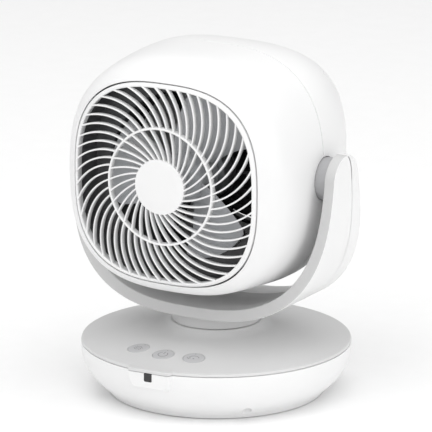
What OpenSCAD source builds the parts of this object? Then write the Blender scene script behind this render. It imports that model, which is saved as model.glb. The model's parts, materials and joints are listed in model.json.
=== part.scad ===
// Table-top air circulator: round base, turning yoke and tilting fan head.
// Millimetres. The origin is the centre of the base on the table, the air blows towards -Y, and +Z is up.

/* [Base] */
// Radius of the base at its seam
base_r = 130; // [126:1:134]
// Height of the seam between the bowl and the cover
base_seam_z = 49; // [48:0.5:50]
// Radius of the foot ring at the table
foot_r = 103.5; // [100:0.5:105]
// Distance of the buttons from the centre of the base
button_ring_r = 95.2; // [92:0.2:98]
// Angle between neighbouring buttons
button_step = 19; // [18:0.5:22]
// Turn of the middle button from the front
button_turn = -1.7; // [-4:0.1:4]
// Radius of a button
button_r = 10.5; // [9:0.25:11]
// How far a button can be pressed
button_travel = 0.8; // [0.4:0.1:1]

/* [Yoke] */
// Half of the width across the yoke's arms
yoke_half_w = 142; // [140:1:146]
// Thickness of the yoke's plate
yoke_t = 10.7; // [10:0.1:12]
// Underside of the yoke at its middle
yoke_bottom_z = 82.5; // [81:0.5:84]
// Radius of the round end of an arm
arm_end_r = 25.6; // [24:0.2:28]
// Half of the yoke's depth where it meets the neck
yoke_foot_depth = 51; // [46:1:54]
// Radius of the neck
neck_r = 42.6; // [40:0.2:44]

/* [Head] */
// Height of the tilt axis
tilt_z = 223.7; // [222:0.1:226]
// Half of the head's width at its widest
head_half_w = 119; // [117:0.5:120]
// Height of the head as a share of its width
head_aspect = 0.98; // [0.96:0.01:1]
// Half of the width of the grille opening
mouth_half_w = 99.4; // [96:0.2:100]
// Wall thickness of the head shells
head_wall = 2.6; // [2:0.1:3]

/* [Grille and impeller] */
// Fins between the centre disc and the ring
inner_fins = 32; // [24:4:36]
// Fins between the ring and the frame
outer_fins = 48; // [36:4:52]
// Thickness of a fin
fin_t = 1.6; // [1.4:0.1:2.4]
// Depth of a fin
fin_depth = 6; // [5.5:0.5:9]
// Radius of the grille's centre disc
disc_r = 26.5; // [24:0.5:30]
// Radius of the grille's ring
ring_r = 55.7; // [50:0.1:60]
// Number of impeller blades
blade_count = 3; // [3:1:5]
// Radius of the impeller
blade_r = 81; // [76:0.5:81]

/* [Hidden] */

// colours
white = "white";
satin = [0.93, 0.93, 0.93];
button_grey = [0.78, 0.78, 0.79];
blade_grey = [0.62, 0.63, 0.64];
dark = [0.12, 0.12, 0.13];
steel = [0.66, 0.67, 0.69];
pcb_green = [0.05, 0.32, 0.16];
copper = [0.72, 0.42, 0.2];
acetal = [0.86, 0.86, 0.8];

// general clearances
gap = 0.3;            // between faces of pieces that move past each other
run = 0.05;           // radial clearance of a shaft in its bush
fit = 0.05;           // radial clearance of a piece that is fixed in a hole
seam_gap = 0.5;       // open line between two covers

// base
floor_z = 0.8;        // underside of the bowl; the feet stand out below it
floor_t = 2.5;
floor_top = floor_z + floor_t;
base_wall = 2.6;
step_z = 5.5;         // step between the foot ring and the bowl
bowl_drop = 23.7;     // how much the bowl narrows from the seam to the step
bowl_power = 2.45;
bowl_z = [8, 11, 14.5, 18.5, 23, 28, 34, 41, base_seam_z - seam_gap / 2];  // heights of its sections
cover_slope = 9.4;    // fall of the cover's top, in degrees
cover_z = 57.3;       // height of the cover's top at the buttons
cover_t = 2.6;
collar_r = 43.4;      // top of the cover's collar, under the neck
collar_z = 69.8;
collar_bore = 30;
m3 = 1.5;             // shank radius of the larger screws
lens_half_w = 4.25;
lens_z = [40.6, 48.7];
boss_front = 132.6;   // front of the receiver's housing, measured from the centre
boss_turn = 1;        // turn of the housing from the front
boss_back = 118;
socket_z = 22;        // height of the power socket
socket_depth = 10;
collar_back = 126.6;  // rear face of the socket's collar
switch_top = -7.8;    // top of the tact switches, measured from a button's face
base_screw_r = 111;   // distance of the cover screws from the centre
base_screw_z = 15;    // seat of the cover screws
foot_pad_r = 8;
foot_pad_place = 90;  // distance of the feet from the centre
column_top = 23.8;    // top of the columns for the cover screws
board_screw = [16.8, 12];  // place of the board's screws beside the middle button

// swing drive
spindle_r = 12;
spindle_bore = 8;
spindle_end = 19.6;
bush_r = 15;
bracket_z = 30;
bracket_t = 3;
bracket_r = 56;
hub_r = 19;
hub_top = 58;
post_r = 50;
gear_module = 1;
gear_teeth = 57;
pinion_teeth = 15;
gear_z = 22;
gear_h = 7;
motor_offset = gear_module * (gear_teeth + pinion_teeth) / 2;
swing_motor_r = 14;
swing_motor_h = 19;
motor_screw_half = 17.5;
neck_z = 70.3;        // underside of the neck, above the collar
washer_z = 59.6;
washer_t = 1.4;

// yoke, measured from the tilt axis
yoke_drop = tilt_z - yoke_bottom_z;
yoke_power = 2.74;
yoke_wall = 2.4;
seam_share = 0.39;    // place of the seam between the yoke's middle and its rear edge
yoke_screw_turns = [8, 40, 70, 110, 140, 172];
boss_r = 20.5;
boss_bore = 8;
pocket_r = boss_r + 0.8;
boss_in = head_half_w - 3.6;
boss_out = yoke_half_w - yoke_t - 0.4;
trunnion_r = boss_bore;
trunnion_end = yoke_half_w - yoke_wall - 3;

// head, measured from the tilt axis; "forward" is the distance towards -Y
mouth_f = 95.7;
seam_f = 3;
widest_f = 5;
back_f = -88.5;
front_power = 7.7;    // how sharply the sides turn in to the mouth
top_power = 6.6;      // the same for the top
head_rise = 2;        // how much more the head's top is above the axis than its underside is below it
chin_rise = 8.7;      // how much the underside climbs from the widest section to the mouth
chin_power = 14;
rear_fall = 22.2;     // how much the head narrows from its widest section to the rear roll
rear_roll_f = -80;
rear_power = 2.3;
intake_r = 82;
shell_screw_x = 85;
shell_screw_z = 83;
shell_screw_f = -45;  // seat of the shell screws
shell_split_f = -31;  // where the posts of the two shells meet
ring_points = 60;     // points around each section of a shell

// duct, motor and impeller, in forward distance
duct_r = 84;
duct_t = 2.5;
duct_f = [8, 60];
baffle_r = 81.5;
sleeve_f = 88.5;      // front edge of the duct's sleeve
frame_back_f = 91;    // back of the grille's frame
sleeve_half_w = 98.2;
motor_r = 31;
motor_front = 40;     // front of the fan motor
shaft_r = 4;
bearing_r = 11;
bearing_w = 7;
rotor_r = 14.8;
stator_r = 28;
pole_count = 9;
hub_f = [41, 70];
impeller_hub_r = 25;
blade_f = 54;         // middle of the blades
blade_span = 63;      // degrees that a blade covers near its tip
blade_root_extra = 14;  // how much wider it is at the hub
blade_sweep = [69, 14]; // place of a blade's middle at the hub, and its fall back at the tip
blade_rise = 19;      // how far a blade climbs along the axis from edge to edge
blade_t = 2;

// grille
grille_power = 2.76;
disc_f = 107;         // front of the centre disc
grille_fall = 7;      // how far the fins fall back from the disc to fall_r
fall_r = 94;
frame_out = mouth_half_w - 0.6;
frame_in = mouth_half_w - 5;
inner_sweep = 22.5;   // turn of an inner fin from the disc to the ring
outer_lean = 0.42;    // turn of an outer fin at the ring, degrees per millimetre
outer_bend = 0.00306; // growth of that turn outwards

$fn = 72;

// ---------------------------------------------------------------- functions

// A superellipse outline with half sizes a and b
function squircle(a, b, power, count) = [
  for (i = [0:count - 1])
    let (t = 360 * i / count)
      [a * sign(cos(t)) * pow(abs(cos(t)), 2 / power), b * sign(sin(t)) * pow(abs(sin(t)), 2 / power)]
];

// The lower half of a superellipse, from +x round to -x
function u_curve(a, b, power, count) = [
  for (i = [0:count])
    let (t = 180 * i / count)
      [a * sign(cos(t)) * pow(abs(cos(t)), 2 / power), -b * pow(sin(t), 2 / power)]
];

function backwards(list) = [for (i = [len(list) - 1:-1:0]) list[i]];

// Outer radius of the bowl at a height
function bowl_r(z) = base_r - bowl_drop * pow((base_seam_z - z) / (base_seam_z - step_z), bowl_power);

// Height of the cover's sloping top at a radius
function cover_top(r) = cover_z + (button_ring_r - r) * tan(cover_slope);

// Half width of the head at a forward distance
function head_w(f) = f > widest_f
  ? head_half_w - (head_half_w - mouth_half_w) * pow((f - widest_f) / (mouth_f - widest_f), front_power)
  : head_half_w - rear_fall * pow((widest_f - f) / (widest_f - rear_roll_f), rear_power);

// Share of the way from the widest section to the mouth or to the rear roll
function ahead(f) = max(f - widest_f, 0) / (mouth_f - widest_f);
function behind(f) = max(widest_f - f, 0) / (widest_f - rear_roll_f);

// Height of the head's top and depth of its underside, measured from the tilt axis
function head_up(f) =
  let (half_h = head_half_w * head_aspect + head_rise)
    half_h - (half_h - mouth_half_w * head_aspect) * pow(ahead(f), top_power)
      - rear_fall * head_aspect * pow(behind(f), rear_power);
function head_down(f) =
  let (fall = (head_half_w - mouth_half_w) * head_aspect)
    head_half_w * head_aspect - chin_rise * ahead(f) - (fall - chin_rise) * pow(ahead(f), chin_power)
      - rear_fall * head_aspect * pow(behind(f), rear_power);

// Roundness of the head's section at a forward distance; its upper corners are rounder half way to the mouth
function head_power(f, upper) =
  2.75 + 0.05 * ahead(f) + 0.35 * behind(f) - (upper ? 0.31 : 0.12) * sin(180 * pow(ahead(f), 1.84));

// One section of the head's skin, moved inwards by an inset
function head_section(f, inset) = [
  for (i = [0:ring_points - 1])
    let (t = 360 * i / ring_points, e = 2 / head_power(f, t < 180), w = head_w(f) - inset,
         h = (t < 180 ? head_up(f) : head_down(f)) - inset)
      [w * sign(cos(t)) * pow(abs(cos(t)), e), -f, h * sign(sin(t)) * pow(abs(sin(t)), e)]
];

// A symmetrical section around the head's axis
function section(w, f, power) = [for (p = squircle(w, w * head_aspect, power, ring_points)) [p[0], -f, p[1]]];

// A round section of the head's back
function round_section(r, f) = [
  for (i = [0:ring_points - 1])
    let (t = 360 * i / ring_points)
      [r * cos(t), -f, r * sin(t)]
];

// Half depth of the yoke at a height above the tilt axis, less a wall
function arm_depth(z, wall) = z > 0
  ? sqrt(max(pow(arm_end_r - wall, 2) - z * z, 0))
  : arm_end_r - wall + (yoke_foot_depth - arm_end_r) * -z / yoke_drop;

// Front of the grille at a radius, in forward distance
function grille_f(r) = disc_f - grille_fall * pow(max(r - disc_r, 0) / (fall_r - disc_r), 2);

// Direction of a fin at a radius
function inner_turn(r) = inner_sweep * ln(r / disc_r) / ln(ring_r / disc_r);
function outer_turn(r) = outer_lean * (r - ring_r) + outer_bend * pow(r - ring_r, 2);
function on_fin(start, r) = [r * cos(start + outer_turn(r)), r * sin(start + outer_turn(r))];

// Where an outer fin reaches the frame, found by halving the interval
function fin_reach(start, low, high, left) = left == 0 ? low :
  let (mid = (low + high) / 2, p = on_fin(start, mid), a = frame_in + 1)
    pow(abs(p[0]) / a, grille_power) + pow(abs(p[1]) / (a * head_aspect), grille_power) < 1
      ? fin_reach(start, mid, high, left - 1) : fin_reach(start, low, mid, left - 1);

// Half of a gear tooth's angle at a radius, on an involute flank
function involute(angle) = tan(angle) * 180 / PI - angle;
function tooth_half(teeth, pitch_r, r) =
  let (base = pitch_r * cos(20), backlash = 6 / pitch_r)
    90 / teeth + involute(20) - involute(acos(min(1, base / max(r, base)))) - backlash;

// ---------------------------------------------------------------- shared shapes

// Extrudes an outline drawn in x and z from y0 to y1
module along_y(y0, y1) translate([0, y1, 0]) rotate([90, 0, 0]) linear_extrude(y1 - y0) children();

// Extrudes an outline drawn in y and z from x0 to x1
module along_x(x0, x1) translate([x0, 0, 0]) rotate([90, 0, 90]) linear_extrude(x1 - x0) children();

// Spins an outline of radius and forward distance about the impeller's axis
module spun() rotate([90, 0, 0]) rotate_extrude() children();

// A rod along the impeller's axis between two forward distances
module rod_f(f0, f1, r) translate([0, -f0, 0]) rotate([90, 0, 0]) cylinder(h = f1 - f0, r = r);

// A rod along x
module rod_x(x0, x1, r) translate([x0, 0, 0]) rotate([0, 90, 0]) cylinder(h = x1 - x0, r = r);

module tube(h, outer, inner) difference() {
  cylinder(h = h, r = outer);
  translate([0, 0, -1]) cylinder(h = h + 2, r = inner);
}

module head_place() translate([0, 0, tilt_z]) children();

module both_sides() {
  children();
  mirror([1, 0, 0]) children();
}

// Joins sections of equal length into one closed skin; the last section meets the first
module skin(sections) {
  rows = len(sections);
  count = len(sections[0]);
  points = [for (s = sections) for (p = s) p];
  faces = [
    for (i = [0:rows - 1]) for (j = [0:count - 1])
      let (a = i * count + j, b = i * count + (j + 1) % count,
           c = ((i + 1) % rows) * count + (j + 1) % count, d = ((i + 1) % rows) * count + j)
        each [[a, b, c], [a, c, d]]
  ];
  polyhedron(points, faces, convexity = 8);
}

// Faces that join each section to the next one
function side_faces(rows, count) = [
  for (i = [0:rows - 2]) for (j = [0:count - 1])
    let (a = i * count + j, b = i * count + (j + 1) % count)
      each [[a, b, b + count], [a, b + count, a + count]]
];

// A solid through flat sections, closed by its first and last section
module loft(sections) {
  rows = len(sections);
  count = len(sections[0]);
  polyhedron(
    [for (s = sections) for (p = s) p],
    concat(
      side_faces(rows, count),
      [[for (j = [count - 1:-1:0]) j], [for (j = [0:count - 1]) (rows - 1) * count + j]]
    ),
    convexity = 8
  );
}

// A curved sheet; each section runs along one side and back along the other
module sheet(sections) {
  rows = len(sections);
  count = len(sections[0]);
  last = (rows - 1) * count;
  polyhedron(
    [for (s = sections) for (p = s) p],
    concat(
      side_faces(rows, count),
      [for (j = [0:count / 2 - 2]) each [[j, count - 2 - j, j + 1], [j, count - 1 - j, count - 2 - j]]],
      [for (j = [0:count / 2 - 2])
        each [
          [last + j, last + j + 1, last + count - 2 - j],
          [last + j, last + count - 2 - j, last + count - 1 - j]
        ]]
    ),
    convexity = 8
  );
}

// A pan-head screw that points down, with its head's underside at the origin
module screw(length, r = 1.5) {
  translate([0, 0, -length]) cylinder(h = length + 0.1, r = r);
  difference() {
    cylinder(h = 1.9, r = r * 1.85);
    translate([0, 0, 1]) cube([r * 2.2, 0.7, 2.2], center = true);
    translate([0, 0, 1]) cube([0.7, r * 2.2, 2.2], center = true);
  }
}

// A spur gear's outline with involute flanks
module gear_outline(teeth) {
  pitch_r = gear_module * teeth / 2;
  root = pitch_r - 1.2 * gear_module;
  tip = pitch_r + 0.8 * gear_module;
  radii = [root, pitch_r - 0.5 * gear_module, pitch_r, pitch_r + 0.4 * gear_module, tip];
  polygon([
    for (i = [0:teeth - 1])
      each concat(
        [for (r = radii)
          let (t = 360 * i / teeth - tooth_half(teeth, pitch_r, r)) [r * cos(t), r * sin(t)]],
        [for (r = backwards(radii))
          let (t = 360 * i / teeth + tooth_half(teeth, pitch_r, r)) [r * cos(t), r * sin(t)]]
      )
  ]);
}

// ---------------------------------------------------------------- base

module at_base_screws() for (t = [45:90:315]) rotate([0, 0, t]) translate([base_screw_r, 0, 0]) children();

module at_feet() for (t = [0:60:300]) rotate([0, 0, t]) translate([foot_pad_place, 0, 0]) children();

module at_posts() for (t = [30, 150, 270]) rotate([0, 0, t]) translate([post_r, 0, 0]) children();

module at_ballast_screws() for (t = [0, 120, 240]) rotate([0, 0, t]) translate([78, 0, 0]) children();

// Frame of one button: its top face at z = 0 and its travel along -z
module at_button(place) rotate([0, 0, button_turn + place * button_step])
  translate([0, -button_ring_r, cover_z]) rotate([cover_slope, 0, 0]) children();

module at_board_screws() at_button(0)
  for (side = [-1, 1]) translate([side * board_screw[0], board_screw[1], 0]) children();

module at_receiver() rotate([0, 0, boss_turn]) children();

// Housing of the receiver, a box that narrows downwards and forwards
module receiver_boss(top) at_receiver() hull() {
  along_y(-boss_front, -boss_front + 1)
    polygon([[-22, top], [22, top], [20.8, 38], [18.2, 33.8], [-18.2, 33.8], [-20.8, 38]]);
  along_y(-boss_back, -boss_back + 1)
    polygon([[-26.5, top], [26.5, top], [24.8, 35], [20.5, 29.5], [-20.5, 29.5], [-24.8, 35]]);
}

module bowl_form() rotate_extrude($fn = 144) polygon(concat(
  [[0, floor_z], [foot_r, floor_z], [foot_r + 1.8, step_z - 0.3], [bowl_r(step_z) + 1, step_z]],
  [for (z = bowl_z) [bowl_r(z), z]],
  [
    [base_r - base_wall, base_seam_z - seam_gap / 2],
    [base_r - base_wall, base_seam_z + 1],
    [0, base_seam_z + 1]
  ]
));

module bowl_hollow() rotate_extrude($fn = 144) polygon(concat(
  [[0, floor_top], [98, floor_top]],
  [for (z = bowl_z) [bowl_r(z) - base_wall - 1.6, z]],
  [[base_r - 4.2, base_seam_z + 2], [0, base_seam_z + 2]]
));

module base_bowl() color(white) difference() {
  union() {
    difference() {
      union() {
        bowl_form();
        receiver_boss(base_seam_z - seam_gap / 2);
        // collar around the socket
        translate([0, 108, socket_z]) rotate([-90, 0, 0]) cylinder(h = collar_back - 108, r = 8);
      }
      bowl_hollow();
    }
    intersection() {
      bowl_form();
      at_base_screws() translate([0, 0, floor_z]) cylinder(h = column_top - floor_z, r = 7);
    }
    at_posts() translate([0, 0, floor_top - 1]) cylinder(h = bracket_z - floor_top + 1, r = 5);
  }
  // room behind the receiver's window
  at_receiver() {
    translate([-9, -boss_front + 2.6, 36]) cube([18, 20, base_seam_z]);
    translate([-lens_half_w, -boss_front - 5, lens_z[0]]) cube([2 * lens_half_w, 12, 20]);
  }
  at_base_screws() {
    translate([0, 0, -1]) cylinder(h = base_screw_z + 1, r = 4.6);
    cylinder(h = base_seam_z, r = m3 + 0.3);
  }
  at_posts() translate([0, 0, bracket_z - 12]) cylinder(h = 13, r = m3);
  at_ballast_screws() translate([0, 0, floor_z + 0.7]) cylinder(h = 4, r = 1.3);
  at_feet() translate([0, 0, -1]) cylinder(h = 2 + floor_z, r = foot_pad_r + fit);
  // socket at the back
  translate([0, 105, socket_z]) rotate([-90, 0, 0]) cylinder(h = 30, r = 5);
}

module base_cover() color(satin) {
  post_h = 11.5;
  difference() {
    union() {
      rotate_extrude($fn = 144) polygon([
        [base_r - 0.3, base_seam_z + seam_gap / 2],
        [base_r - 0.5, 50], [base_r - 1.5, 51.2], [base_r - 3.6, 52.3],
        [base_r - 7.5, 53], [118, cover_top(118)], [56, cover_top(56)], [50.8, 65.2], [46.6, 67.4],
        [collar_r + 0.6, collar_z - 0.3], [collar_r, collar_z],
        [collar_bore, collar_z], [collar_bore, collar_z - cover_t],
        [collar_r - 1, collar_z - cover_t], [49, 63],
        [56, cover_top(56) - cover_t], [118, cover_top(118) - cover_t],
        [base_r - 2.2, 49.4], [base_r - 2.2, base_seam_z + seam_gap / 2]
      ]);
      // lip over the receiver's housing
      difference() {
        receiver_boss(52.3);
        translate([-60, -boss_front - 20, 0]) cube([120, 60, base_seam_z + seam_gap / 2]);
      }
      at_base_screws() translate([0, 0, column_top + 0.2]) cylinder(h = 53 - column_top, r = 3.9);
      at_board_screws() translate([0, 0, -post_h]) cylinder(h = post_h - 1.5, r = 3);
    }
    at_receiver() translate([-12, -boss_front + 2.5, 40]) cube([24, 20, base_seam_z + 1.5 - 40]);
    // room for the bowl's tongue
    translate([0, 0, base_seam_z - 1]) tube(2.3, base_r - 2.2, base_r - 4.6);
    at_base_screws() translate([0, 0, column_top - 1]) cylinder(h = 16, r = m3);
    for (place = [-1:1]) at_button(place) translate([0, 0, -8]) cylinder(h = 12, r = button_r + 0.25);
    at_board_screws() translate([0, 0, -post_h - 1]) cylinder(h = 9, r = 1.2);
  }
}

module rubber_feet() color(dark)
  at_feet() cylinder(h = floor_z + 1, r = foot_pad_r);

module base_screws() color(steel)
  at_base_screws() translate([0, 0, base_screw_z]) mirror([0, 0, 1]) screw(20);

module ballast_plate() color(steel) difference() {
  translate([0, 0, floor_top]) tube(4, 98, 59);
  at_ballast_screws() translate([0, 0, floor_top - 1]) cylinder(h = 6, r = 1.9);
}

module ballast_screws() color(steel)
  at_ballast_screws() translate([0, 0, floor_top + 4]) screw(5.6, 1.3);

module ir_window() color(dark) at_receiver()
  translate([-lens_half_w + fit, -boss_front - 0.1, lens_z[0] + fit])
    cube([2 * (lens_half_w - fit), 2.7, lens_z[1] - lens_z[0] - 2 * fit]);

module ir_receiver() color(dark) at_receiver() translate([0, -boss_front + 5.6, 0]) {
  translate([-3, 0, 41]) cube([6, 4.4, 7]);
  translate([0, 0, 44.5]) sphere(r = 2.2);
  for (x = [-2, 0, 2]) translate([x - 0.3, 2.6, 37.7]) cube([0.6, 0.6, 3.4]);
}

module ir_board() color(pcb_green) at_receiver() translate([-8, -boss_front + 10.1, 37.4]) cube([16, 1.4, 11]);

module power_inlet() color(dark) difference() {
  union() {
    translate([-6, 101, socket_z - 6.5]) cube([12, 12, 13]);
    translate([0, 112.5, socket_z]) rotate([-90, 0, 0]) cylinder(h = collar_back - 113.5, r = 4.9);
  }
  translate([0, collar_back - 1 - socket_depth, socket_z]) rotate([-90, 0, 0]) tube(socket_depth + 1, 2.9, 1);
}

module control_board() color(pcb_green) difference() {
  at_button(0) translate([-42, -9, -13.1]) cube([84, 27, 1.6]);
  at_board_screws() translate([0, 0, -14]) cylinder(h = 4, r = 1.4);
}

module tact_switches() color(dark) at_button(0)
  for (turn = [-button_step, 0, button_step])
    translate([button_ring_r * sin(turn), button_ring_r * (1 - cos(turn)), -11.5]) {
      translate([-3, -3, 0]) cube([6, 6, 3.2]);
      cylinder(h = switch_top + 11.5, r = 1.7);
    }

module board_screws() color(steel)
  at_board_screws() translate([0, 0, -13.1]) mirror([0, 0, 1]) screw(7.5, 1.2);

// How much shorter a side button's stem is, because the board is flat and the cover is a cone
function side_drop(place) =
  button_ring_r * (1 - cos(place * button_step)) * sin(cover_slope) + 0.25 * abs(place);

module button(place) color(button_grey) at_button(place) {
  stem_end = switch_top + gap + button_travel + side_drop(place);
  translate([0, 0, -2.9]) cylinder(h = 3.2, r = button_r);
  translate([0, 0, -4.1]) cylinder(h = 1.2, r = button_r + 1.4);
  translate([0, 0, stem_end]) cylinder(h = -4 - stem_end, r = 3);
}

module button_wind() button(-1);
module button_power() button(0);
module button_swing() button(1);

// ---------------------------------------------------------------- swing drive

module at_swing_motor() translate([0, motor_offset, 0]) children();

module swing_bracket() color(satin) difference() {
  union() {
    translate([0, 0, bracket_z]) cylinder(h = bracket_t, r = bracket_r);
    cylinder(h = hub_top, r = hub_r);
  }
  translate([0, 0, -1]) cylinder(h = bracket_z + 1, r = hub_r + 1);
  cylinder(h = hub_top + 1, r = bush_r + fit);
  at_swing_motor() {
    cylinder(h = hub_top, r = 4.6);
    for (x = [-motor_screw_half, motor_screw_half]) translate([x, 0, 0]) cylinder(h = hub_top, r = 1.25);
  }
  at_posts() cylinder(h = hub_top, r = 1.8);
}

module bracket_screws() color(steel)
  at_posts() translate([0, 0, bracket_z + bracket_t]) screw(13);

module spindle_bush() color(acetal) difference() {
  union() {
    translate([0, 0, bracket_z]) cylinder(h = hub_top - bracket_z, r = bush_r);
    translate([0, 0, hub_top]) cylinder(h = 1.4, r = hub_r - 0.5);
  }
  cylinder(h = 80, r = spindle_r + run);
}

module thrust_washer() color(steel) translate([0, 0, washer_z]) tube(washer_t, 22, spindle_r + 0.4);

module swing_motor() color(steel) at_swing_motor() difference() {
  union() {
    translate([0, 0, bracket_z + bracket_t]) cylinder(h = swing_motor_h, r = swing_motor_r);
    translate([0, 0, bracket_z + 0.6]) cylinder(h = 3, r = 4.5);
    for (side = [-1, 1])
      translate([side * motor_screw_half, 0, bracket_z + bracket_t]) cylinder(h = 1, r = 3.5);
    translate([-motor_screw_half, -3.5, bracket_z + bracket_t]) cube([2 * motor_screw_half, 7, 1]);
  }
  cylinder(h = bracket_z + 10, r = 2.5 + run);
  for (side = [-1, 1]) translate([side * motor_screw_half, 0, 0]) cylinder(h = 50, r = 1.6);
}

module swing_motor_screws() color(steel) at_swing_motor()
  for (side = [-1, 1]) translate([side * motor_screw_half, 0, bracket_z + bracket_t + 1]) screw(5, 1.25);

module motor_pinion() color(acetal) at_swing_motor() difference() {
  translate([0, 0, gear_z + 0.5]) linear_extrude(gear_h - 1)
    rotate([0, 0, 90 + 180 / pinion_teeth]) rotate([0, 0, 180]) gear_outline(pinion_teeth);
  translate([0, 0, gear_z - 1]) cylinder(h = gear_h + 2, r = 2.5);
}

module pinion_shaft() color(steel) at_swing_motor()
  translate([0, 0, gear_z]) cylinder(h = bracket_z + 9.5 - gear_z, r = 2.5);

module swing_gear() color(acetal) difference() {
  translate([0, 0, gear_z]) linear_extrude(gear_h) rotate([0, 0, 90]) gear_outline(gear_teeth);
  translate([0, 0, gear_z - 1]) cylinder(h = gear_h + 2, r = spindle_r);
}

module gear_retainer() color(steel) translate([0, 0, gear_z - 1.4]) tube(1.2, spindle_r + 3.5, spindle_r);

// ---------------------------------------------------------------- yoke

// The yoke as a solid, shrunk by a wall; low and high are shares of the half depth
module yoke_form(wall, low, high) {
  heights = concat(
    [-yoke_drop - 1, -yoke_drop / 2],
    [for (t = [0:15:75]) (arm_end_r - wall) * sin(t)],
    [(arm_end_r - wall) * 0.995]
  );
  top = arm_end_r + 1;
  intersection() {
    along_y(-60, 60) polygon(concat(
      [[yoke_half_w - wall, top]],
      u_curve(yoke_half_w - wall, yoke_drop - wall, yoke_power, 48),
      [[-yoke_half_w + wall, top], [-yoke_half_w + yoke_t - wall, top]],
      backwards(u_curve(yoke_half_w - yoke_t + wall, yoke_drop - yoke_t + wall, yoke_power, 48)),
      [[yoke_half_w - yoke_t + wall, top]]
    ));
    along_x(-160, 160) polygon(concat(
      [for (z = heights) [low * arm_depth(z, wall), z]],
      [for (z = backwards(heights)) [high * arm_depth(z, wall), z]]
    ));
  }
}

// Places of the yoke's screws: on the middle line of its plate, at the seam
module at_yoke_screws() for (t = yoke_screw_turns) {
  a = yoke_half_w - yoke_t / 2;
  z = -(yoke_drop - yoke_t / 2) * pow(sin(t), 2 / yoke_power);
  x = a * sign(cos(t)) * pow(abs(cos(t)), 2 / yoke_power);
  translate([x, seam_share * arm_depth(z, 0), z]) children();
}

module yoke_shell(low, high) difference() {
  yoke_form(0, low, high);
  yoke_form(yoke_wall, -1, 1);
  // inner wall's holes for the pivot bosses
  both_sides() rod_x(yoke_half_w - yoke_t - 5, yoke_half_w - yoke_wall - 0.1, 12 + fit);
  // passage to the neck
  translate([0, 0, -yoke_drop - 5]) cylinder(h = 5 + yoke_wall + 1, r = 20);
}

module yoke_front() color(satin) head_place() difference() {
  union() {
    yoke_shell(-1, seam_share);
    intersection() {
      at_yoke_screws() rod_f(-4, 14, 3.6);
      yoke_form(0.5, -1, seam_share);
    }
  }
  at_yoke_screws() rod_f(-5, 12, 1.3);
}

module yoke_rear() color(white) head_place() difference() {
  union() {
    yoke_shell(seam_share, 1);
    intersection() {
      at_yoke_screws() rod_f(-40, 4, 4.2);
      yoke_form(0.5, seam_share + 0.012, 1);
    }
  }
  at_yoke_screws() {
    rod_f(-60, -5, 2.9);
    rod_f(-6, 5, 1.6);
  }
}

module yoke_neck() color(satin) difference() {
  union() {
    translate([0, 0, neck_z]) tube(88 - neck_z, neck_r, neck_r - 3);
    translate([0, 0, neck_z]) tube(3, neck_r - 1, spindle_bore);
    translate([0, 0, washer_z + washer_t + gap])
      tube(neck_z - washer_z - washer_t - gap + 1, 28, spindle_bore);
    translate([0, 0, spindle_end]) tube(60 - spindle_end + 8, spindle_r, spindle_bore);
    for (t = [0:45:315]) rotate([0, 0, t]) translate([20, -1.2, neck_z + 1]) cube([neck_r - 21.5, 2.4, 10]);
  }
  head_place() yoke_form(0, -1, 1);
}

module yoke_screws() color(steel) head_place()
  at_yoke_screws() translate([0, 5, 0]) rotate([-90, 0, 0]) screw(14, 1.3);

module pivot_bosses() color(satin) head_place() both_sides() difference() {
  union() {
    rod_x(boss_in, boss_out, boss_r);
    rod_x(boss_out, boss_out + 3, 12);
  }
  rod_x(boss_in - 1, boss_out + 4, boss_bore + run);
}

// ---------------------------------------------------------------- head

module at_shell_screws() for (x = [-1, 1]) for (z = [-1, 1])
  translate([x * shell_screw_x, 0, z * shell_screw_z]) children();

module pivot_pockets() both_sides() rod_x(90, 130, pocket_r);

module front_shell() color(white) head_place() difference() {
  outer_f = [mouth_f, 95, 93.6, 91, 87, 81.5, 74, 60, 40, 20, seam_f];
  inner_f = [seam_f, 30, 55, 70, 80];
  union() {
    skin(concat(
      [for (f = outer_f) head_section(f, 0)],
      [for (f = inner_f) head_section(f, head_wall)],
      [section(106, 86, 2.78), section(mouth_half_w, 91.2, 2.8)]
    ));
    at_shell_screws() rod_f(shell_split_f, 73, 4.2);
    for (t = [45:90:315]) rotate([0, t, 0]) translate([120, -34, -1]) cube([t < 180 ? 6.8 : 8.3, 22, 2]);
  }
  pivot_pockets();
  at_shell_screws() rod_f(shell_screw_f, 10, m3);
}

module rear_shell() color(white) head_place() difference() {
  outer_f = [seam_f, -12, -28, -42, -54, -65, -73, -80];
  inner_f = [-78, -70, -60, -45, -25, seam_f];
  union() {
    skin(concat(
      [for (f = outer_f) head_section(f, 0)],
      [section(93.6, -84, 2.9), section(89.5, -87, 2.6), section(86.5, -88.4, 2.3)],
      [round_section(intake_r, -88.4)],
      [round_section(intake_r, -85.4), section(87, -84.4, 2.4), section(91, -81.6, 2.9)],
      [for (f = inner_f) head_section(f, head_wall)]
    ));
    intersection() {
      at_shell_screws() rod_f(-78, shell_split_f - 0.4, 7);
      loft([for (f = [-30, -40, -50, -58, -66, -74, -79]) head_section(f, 0.4)]);
    }
  }
  pivot_pockets();
  at_shell_screws() {
    rod_f(-95, shell_screw_f, 5);
    rod_f(-95, 0, m3 + 0.2);
  }
}

module shell_screws() color(steel) head_place()
  at_shell_screws() translate([0, -shell_screw_f, 0]) rotate([-90, 0, 0]) screw(26);

// One stretch of a fin between two radii, leaning with the swirl
module fin_piece(r0, t0, r1, t1) hull() {
  lean = (r0 + r1) / 2 * (t1 - t0) / (r1 - r0) * PI / 180;
  width = fin_t * sqrt(1 + lean * lean);
  for (end = [[r0, t0], [r1, t1]])
    rotate([0, -end[1], 0]) translate([end[0], -grille_f(end[0]), -width / 2]) cube([0.02, fin_depth, width]);
}

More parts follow.
